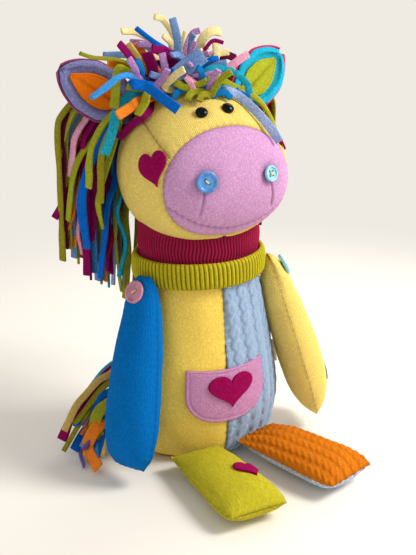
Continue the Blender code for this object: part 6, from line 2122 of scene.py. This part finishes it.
def ribbon(name: str, points: Array, width: float, facing: Array, finish: str, seed: int,
           thickness: float = 2.4 * MM, twist: float = 0.0) -> bpy.types.Object:
    """Makes a cut felt strip along a path.

    Its section is a flat rounded box, a superellipse of the fourth power, swept along the smooth path with
    its broad face towards the facing direction; width, thickness and turn waver as slow waves along it.

    Args:
        name: Name of the piece.
        points: Path from root to tip.
        width: Width of the strip.
        facing: Direction that its broad face looks in.
        finish: Name of its finish.
        seed: Number that picks its waver.
        thickness: Thickness of the felt.
        twist: Turn about its own line from root to tip.

    Returns:
        The strip.
    """
    path = smooth_path(points, 1.8 * MM)
    count = len(path)
    tangent = unit(np.gradient(path, axis=0))
    across = unit(np.cross(tangent, facing))
    normal = np.cross(across, tangent)
    share = np.linspace(0.0, 1.0, count)
    travel = np.concatenate(([0.0], np.cumsum(np.linalg.norm(np.diff(path, axis=0), axis=1))))
    waver = ripple(join(travel, travel * 0.0, travel * 0.0 + seed * 10.0 * MM), 28.0 * MM, seed)
    turn = (twist * share + 0.22 * waver)[:, None]
    broad = across * np.cos(turn) + normal * np.sin(turn)
    thick = normal * np.cos(turn) - across * np.sin(turn)
    sides = 16
    angle = np.linspace(0.0, 2.0 * pi, sides + 1)[:-1]
    box_x = np.sign(np.cos(angle)) * np.abs(np.cos(angle)) ** 0.5
    box_y = np.sign(np.sin(angle)) * np.abs(np.sin(angle)) ** 0.5
    half = 0.5 * width * (1.0 + 0.07 * waver)[:, None, None]
    rings = (path[:, None, :] + broad[:, None, :] * half * box_x[None, :, None]
             + thick[:, None, :] * 0.5 * thickness * box_y[None, :, None])
    caps = np.array((0.02, 0.5, 0.9))[:, None, None]
    foot = path[0] + (rings[0] - path[0])[None] * caps
    head = path[-1] + (rings[-1] - path[-1])[None] * caps[::-1] + tangent[-1] * 0.3 * MM
    rings = np.concatenate((foot, rings, head))
    rows = rings.shape[0]
    faces = grid_faces(rows, sides, True)
    lengthwise = np.concatenate(([0.0] * 3, travel, [travel[-1]] * 3))
    cloth = np.stack(np.broadcast_arrays(angle[None, :] * width / pi, lengthwise[:, None]), axis=-1)
    return add_mesh(name, rings, faces[:, ::-1], finish, cloth)


@dataclass(frozen=True)
class LockRow:
    """One row of hanging locks, with values at its front and its back end."""

    reaches: tuple[float, float]
    levels: tuple[float, float]
    drops: tuple[float, float]
    rise: float
    lift: float


@dataclass
class Hair:
    """The mane and the tail: felt strips of many colours, some placed strip by strip and the rest by rule."""

    head: Head
    torso: Torso
    camera_side: tuple = (-0.45, -0.83, 0.33)
    colours: tuple = ("magenta", "lime", "royal", "burgundy", "olive", "turquoise", "violet", "orange", "sky",
                      "lime", "magenta", "denim")
    band_shift: float = 13.0 * MM
    crest: tuple[float, float] = (radians(86.0), radians(165.0))
    segments: int = 12
    stagger_turn: float = radians(137.5)
    upper: LockRow = LockRow((109.0 * MM, 55.0 * MM), (54.0 * MM, 78.0 * MM), (30.0 * MM, 44.0 * MM), 13.0 * MM,
                             3.0 * MM)
    lower: LockRow = LockRow((90.0 * MM, 40.0 * MM), (44.0 * MM, 68.0 * MM), (42.0 * MM, 40.0 * MM), 4.0 * MM,
                             0.5 * MM)
    back_locks: int = 13
    gap: float = 3.6 * MM

    def strip(self, name: str, row: tuple, body: str, node: str, seed: int, outward: float) -> None:
        """Makes one strip and lets it stand for its CAD node.

        Args:
            name: Name of the piece.
            row: Colour, width in millimetres and path in millimetres.
            body: Body that carries it.
            node: CAD node that it stands for.
            seed: Number that picks its waver and twist.
            outward: Share of the direction away from the head in the way that it faces.
        """
        colour, width, path = row
        points = np.array(path) * MM
        middle = points.mean(axis=0)
        away = unit(np.array((middle[0], middle[1] - self.head.back_shift, 0.0)))
        facing = unit(np.array(self.camera_side) * (1.0 - outward) + away * outward)
        twist = 0.5 * sin(1.7 * seed)
        put(ribbon(name, points, width * MM, facing, "strip_" + colour, seed, twist=twist), body, node)

    def ruled(self, name: str, points: Array, body: str, node: str, seed: int, outward: float,
              width: float = 7.0, colour: str | None = None) -> None:
        """Makes one strip along points that a rule gave, in its colour or the mane's next one."""
        colour = colour or self.colours[(seed * 5) % len(self.colours)]
        self.strip(name, (colour, width, tuple(map(tuple, points / MM))), body, node, seed, outward)

    def station(self, segment: float, shift: float) -> tuple[Array, Array]:
        """Point on the crest by segments from the front and shift from the middle, and the way out there."""
        sweep = self.crest[0] + (self.crest[1] - self.crest[0]) * segment / self.segments
        return stand(self.head.surface, shift / self.head.half_height, sweep)

    def hang(self, start: Array, heading: Array, reach: float, drop: float, fall: float, rise: float,
             sway: float) -> Array:
        """Path of a lock: a quarter of an ellipse out and down, lifted by a full sine, and then straight down.

        Args:
            start: Its first point.
            heading: Its direction seen from above.
            reach: How far out it hangs.
            drop: Height of its arch.
            fall: Length below the arch.
            rise: Its first lift.
            sway: How far its end drifts along the body.

        Returns:
            The path.
        """
        turn = 0.5 * pi * np.array((0.0, 0.16, 0.36, 0.58, 0.8, 0.96))
        arch = (start + join(heading[0] * reach * np.sin(turn), heading[1] * reach * np.sin(turn),
                             rise * np.sin(2.0 * turn) - drop * (1.0 - np.cos(turn))))
        share = np.array((0.3, 0.65, 1.0))
        low = start + join(*(heading * reach), -drop)
        path = np.concatenate((arch, low + join(0.0 * share, sway * share**2, -fall * share)))
        return self.clear_head(path)

    def tuft(self, start: Array, out: Array, lean: Array, height: float,
             reach: float) -> Array:
        """Path of a short strip: out by a sine of its share and over by a power of it."""
        share = np.array((0.0, 0.25, 0.5, 0.78, 1.0))[:, None]
        return start + out * height * np.sin(0.5 * pi * share) + lean * reach * share**1.6

    def build(self) -> None:
        """Builds the crown, the locks of both sides and the tail."""
        for k, row in enumerate(CROWN_STRIPS):
            node = "mane_forelock" if k % 4 == 3 else "mane_crown"
            self.strip(f"mane_crown_strip_{k + 1:02d}", row, "head", node, k + 1, 0.0)
        for k, row in enumerate(LOCK_STRIPS):
            self.strip(f"mane_right_strip_{k + 1:02d}", row, "head", "mane_right", k + 50, 0.45)
        for side in Side:
            self.locks(side)
        self.crown()
        for k, (colour, width, root, path) in enumerate(TAIL_STRIPS):
            start = ((-2, 56, root), (-30, 60, root + 3), (-58, 50, root + 4))
            self.strip(f"tail_strip_{k + 1:02d}", (colour, width, start + path), "tail", "tail", k + 90, 0.2)
        self.tail()

    def locks(self, side: Side) -> None:
        """Builds the ruled locks of one side: two in front of the ear, two rows behind it and tufts between.

        Args:
            side: The side.
        """
        node = f"mane_{side.word}"
        seed = 200 if side is Side.RIGHT else 260
        falls = (79.0 * MM, 115.0 * MM) if side is Side.RIGHT else (62.0 * MM, 93.0 * MM)
        count = 0
        for k in range(2):
            start, out = self.station(k + 0.5, side.value * self.band_shift)
            turn = radians(7.0)
            heading = np.array((side.value * cos(turn), sin(turn)))
            path = self.hang(start + out * 0.5 * MM, heading, (74.0 + 7.0 * k) * MM, 62.0 * MM,
                             (30.0 - 12.0 * k) * MM, 2.0 * MM, 3.0 * MM)
            self.ruled(f"{node}_front_{k + 1}", path, "head", node, seed + k, 0.6, 6.4)
        for k in range(self.back_locks):
            share = k / (self.back_locks - 1)
            segment = self.segments - 6.5 + 6.0 * share
            start, out = self.station(segment, side.value * self.band_shift)
            stagger = 9.0 * MM * sin(self.stagger_turn * 6.0 * share)
            fall = falls[1] - (falls[1] - falls[0]) * 2.0 * share * (1.0 - share)
            for row, sign in ((self.lower, 1.0), (self.upper, -1.0)):
                count += 1
                target = np.array((side.value * between(row.reaches, share), between(row.levels, share)))
                root = start + out * row.lift
                away = target - root[:2]
                path = self.hang(root, unit(away), float(np.linalg.norm(away)), between(row.drops, share),
                                 fall + sign * stagger, row.rise, 2.0 * MM)
                outward = 0.55 if side is Side.RIGHT else 0.95
                self.ruled(f"{node}_lock_{count:02d}", path, "head", node, seed + 3 + count, outward, 7.6,
                           "olive" if count == 2 else None)
        for k in (3, 4):
            start, out = self.station(k + 0.5, side.value * self.band_shift)
            turn = radians((7.0, -6.0)[k - 3])
            lean = np.array((side.value * cos(turn), sin(turn), 0.0))
            path = self.tuft(start + out * 3.0 * MM, out, lean, 20.0 * MM,
                             (26.0 + 4.0 * sin(self.stagger_turn * k)) * MM)
            self.ruled(f"{node}_tuft_{k}", path, "head", node, seed + 40 + k, 0.3, 6.4)

    def crown(self) -> None:
        """Builds the ruled tufts of the crown and the forelock, each by its heading, height and reach."""
        first, last = radians(85.0), radians(126.0)
        rows = (CROWN_UP_SHARES, CROWN_RIGHT_SHARES, CROWN_LEFT_SHARES)
        for face, shares in enumerate(rows):
            for k, (turn_share, height, reach) in enumerate(shares):
                sweep = first + (last - first) * (k + 0.5) / len(shares)
                start, out = stand(self.head.surface, 0.0, sweep, 0.5 * MM)
                turn = 2.0 * pi * turn_share
                lean = np.array((cos(turn), sin(turn), 0.0))
                path = self.tuft(start, out, lean, 60.0 * MM * height + 3.0 * MM, 94.0 * MM * reach)
                colour = ("cream", "lilac", "denim", "cream", "lilac")[(face + k) % 5]
                self.ruled(f"mane_crown_tuft_{face * 8 + k + 1:02d}", path, "head", "mane_crown",
                           320 + 11 * face + k, 0.0, 5.6, colour)
        first, last = radians(68.0), radians(80.0)
        for k in range(3):
            sweep = first + (last - first) * (k + 0.5) / 3.0
            start, out = stand(self.head.surface, 0.0, sweep, 0.5 * MM)
            turn = radians(-30.0 - 60.0 * k)
            lean = unit(np.array((cos(turn), sin(turn), 0.5)))
            path = self.tuft(start, out, lean, 16.0 * MM, 16.0 * MM)
            self.ruled(f"mane_forelock_tuft_{k + 1}", path, "head", "mane_forelock", 360 + k, 0.0, 5.6,
                       ("lime", "lilac", "azure")[k])
            for side in Side:
                turn = radians(24.0 - 10.0 * k)
                heading = np.array((side.value * cos(turn), -sin(turn)))
                path = self.hang(start, heading, (16.0 + 7.0 * k) * MM, 3.0 * MM, 0.0, 5.0 * MM, 0.0)[:6]
                colour = ("azure", "turquoise", "sky")[k] if side is Side.LEFT else ("olive", "lime", "azure")[k]
                self.ruled(f"mane_forelock_{side.word}_{k + 1}", path, "head", "mane_forelock", 370 + 2 * k, 0.0,
                           5.8, colour)

    def tail(self) -> None:
        """Builds the ruled strips of the tail: out to the right and round the torso, down to the ground."""
        share = np.array((0.0, 0.1, 0.26, 0.44, 0.62, 0.8, 1.0))
        for k in range(5):
            height = (18.0 + 10.0 * (k + 0.5)) * MM
            along = k / 4.0
            reach = 112.0 * MM + 7.0 * MM * sin(self.stagger_turn * k)
            end = (5.0 + 31.0 * along) * MM
            curl = (92.0 - 36.0 * along) * MM
            for row in range(2):
                start = lift(self.torso.surface, np.array(pi), np.array(height / self.torso.height),
                             np.array(0.9 * MM + row * 4.6 * MM))
                path = start + join(-reach * share, 29.0 * MM * share - curl * share**2,
                                    8.0 * MM * np.sin(pi * share) - (start[2] - end) * share**2)
                self.ruled(f"tail_ruled_{2 * k + row + 1:02d}", path, "tail", "tail", 400 + 2 * k + row, 0.2, 6.6)

    def clear_head(self, points: Array) -> Array:
        """Moves points that come too near the head out to a gap over its skin, from its middle.

        Args:
            points: The points, the first of which stays on the skin.

        Returns:
            The moved points.
        """
        head = self.head
        middle = np.array((0.0, head.back_shift, head.middle))
        away = points - middle
        reach = np.where(away[:, 1] < 0.0, head.muzzle_reach, head.nape_reach) + self.gap
        scale = np.stack((np.full(len(points), head.half_width + self.gap), reach,
                          np.full(len(points), head.half_height + self.gap)), axis=-1)
        ratio = np.linalg.norm(away / scale, axis=1)[:, None]
        moved = np.where(ratio < 1.0, middle + away / np.maximum(ratio, 1e-6), points)
        moved[0] = points[0]
        return moved


def main() -> None:
    """Builds the studio and every sub-assembly, and gives the kept CAD parts their finishes."""
    logging.basicConfig(level=logging.INFO)
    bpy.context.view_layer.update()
    Studio().build()
    torso = Torso()
    head = Head()
    torso.build()
    head.build()
    Neck(torso, head).build()
    Arm(Side.RIGHT, "royal_felt", radians(14.0), radians(6.0), button_finish="pink_plastic").build()
    Arm(Side.LEFT, "yellow_knit", radians(17.0), radians(-3.0)).build()
    Leg(Side.RIGHT, 0.0, {"top": "lime_felt", "sole": "lime_felt"}).build()
    Leg(Side.LEFT, radians(17.0), {"top": "orange_cable", "sole": "heather_felt"}).build()
    Ear(Side.RIGHT, ("ear_magenta", "ear_violet", "orange_felt")).build()
    Ear(Side.LEFT, ("ear_crimson", "turquoise_felt", "ear_lime")).build()
    Hair(head, torso).build()
    Face(head).build()
    Pocket(torso).build()
    kept = {"white_plastic": ("right_eye_washer", "left_eye_washer", "right_shoulder_anchor",
                              "left_shoulder_anchor"),
            "cream_thread": ("right_shoulder_thread", "left_shoulder_thread")}
    for finish, nodes in kept.items():
        for node in nodes:
            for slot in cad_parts[node].material_slots:
                slot.material = Palette.get(finish)


if __name__ == "__main__":
    main()
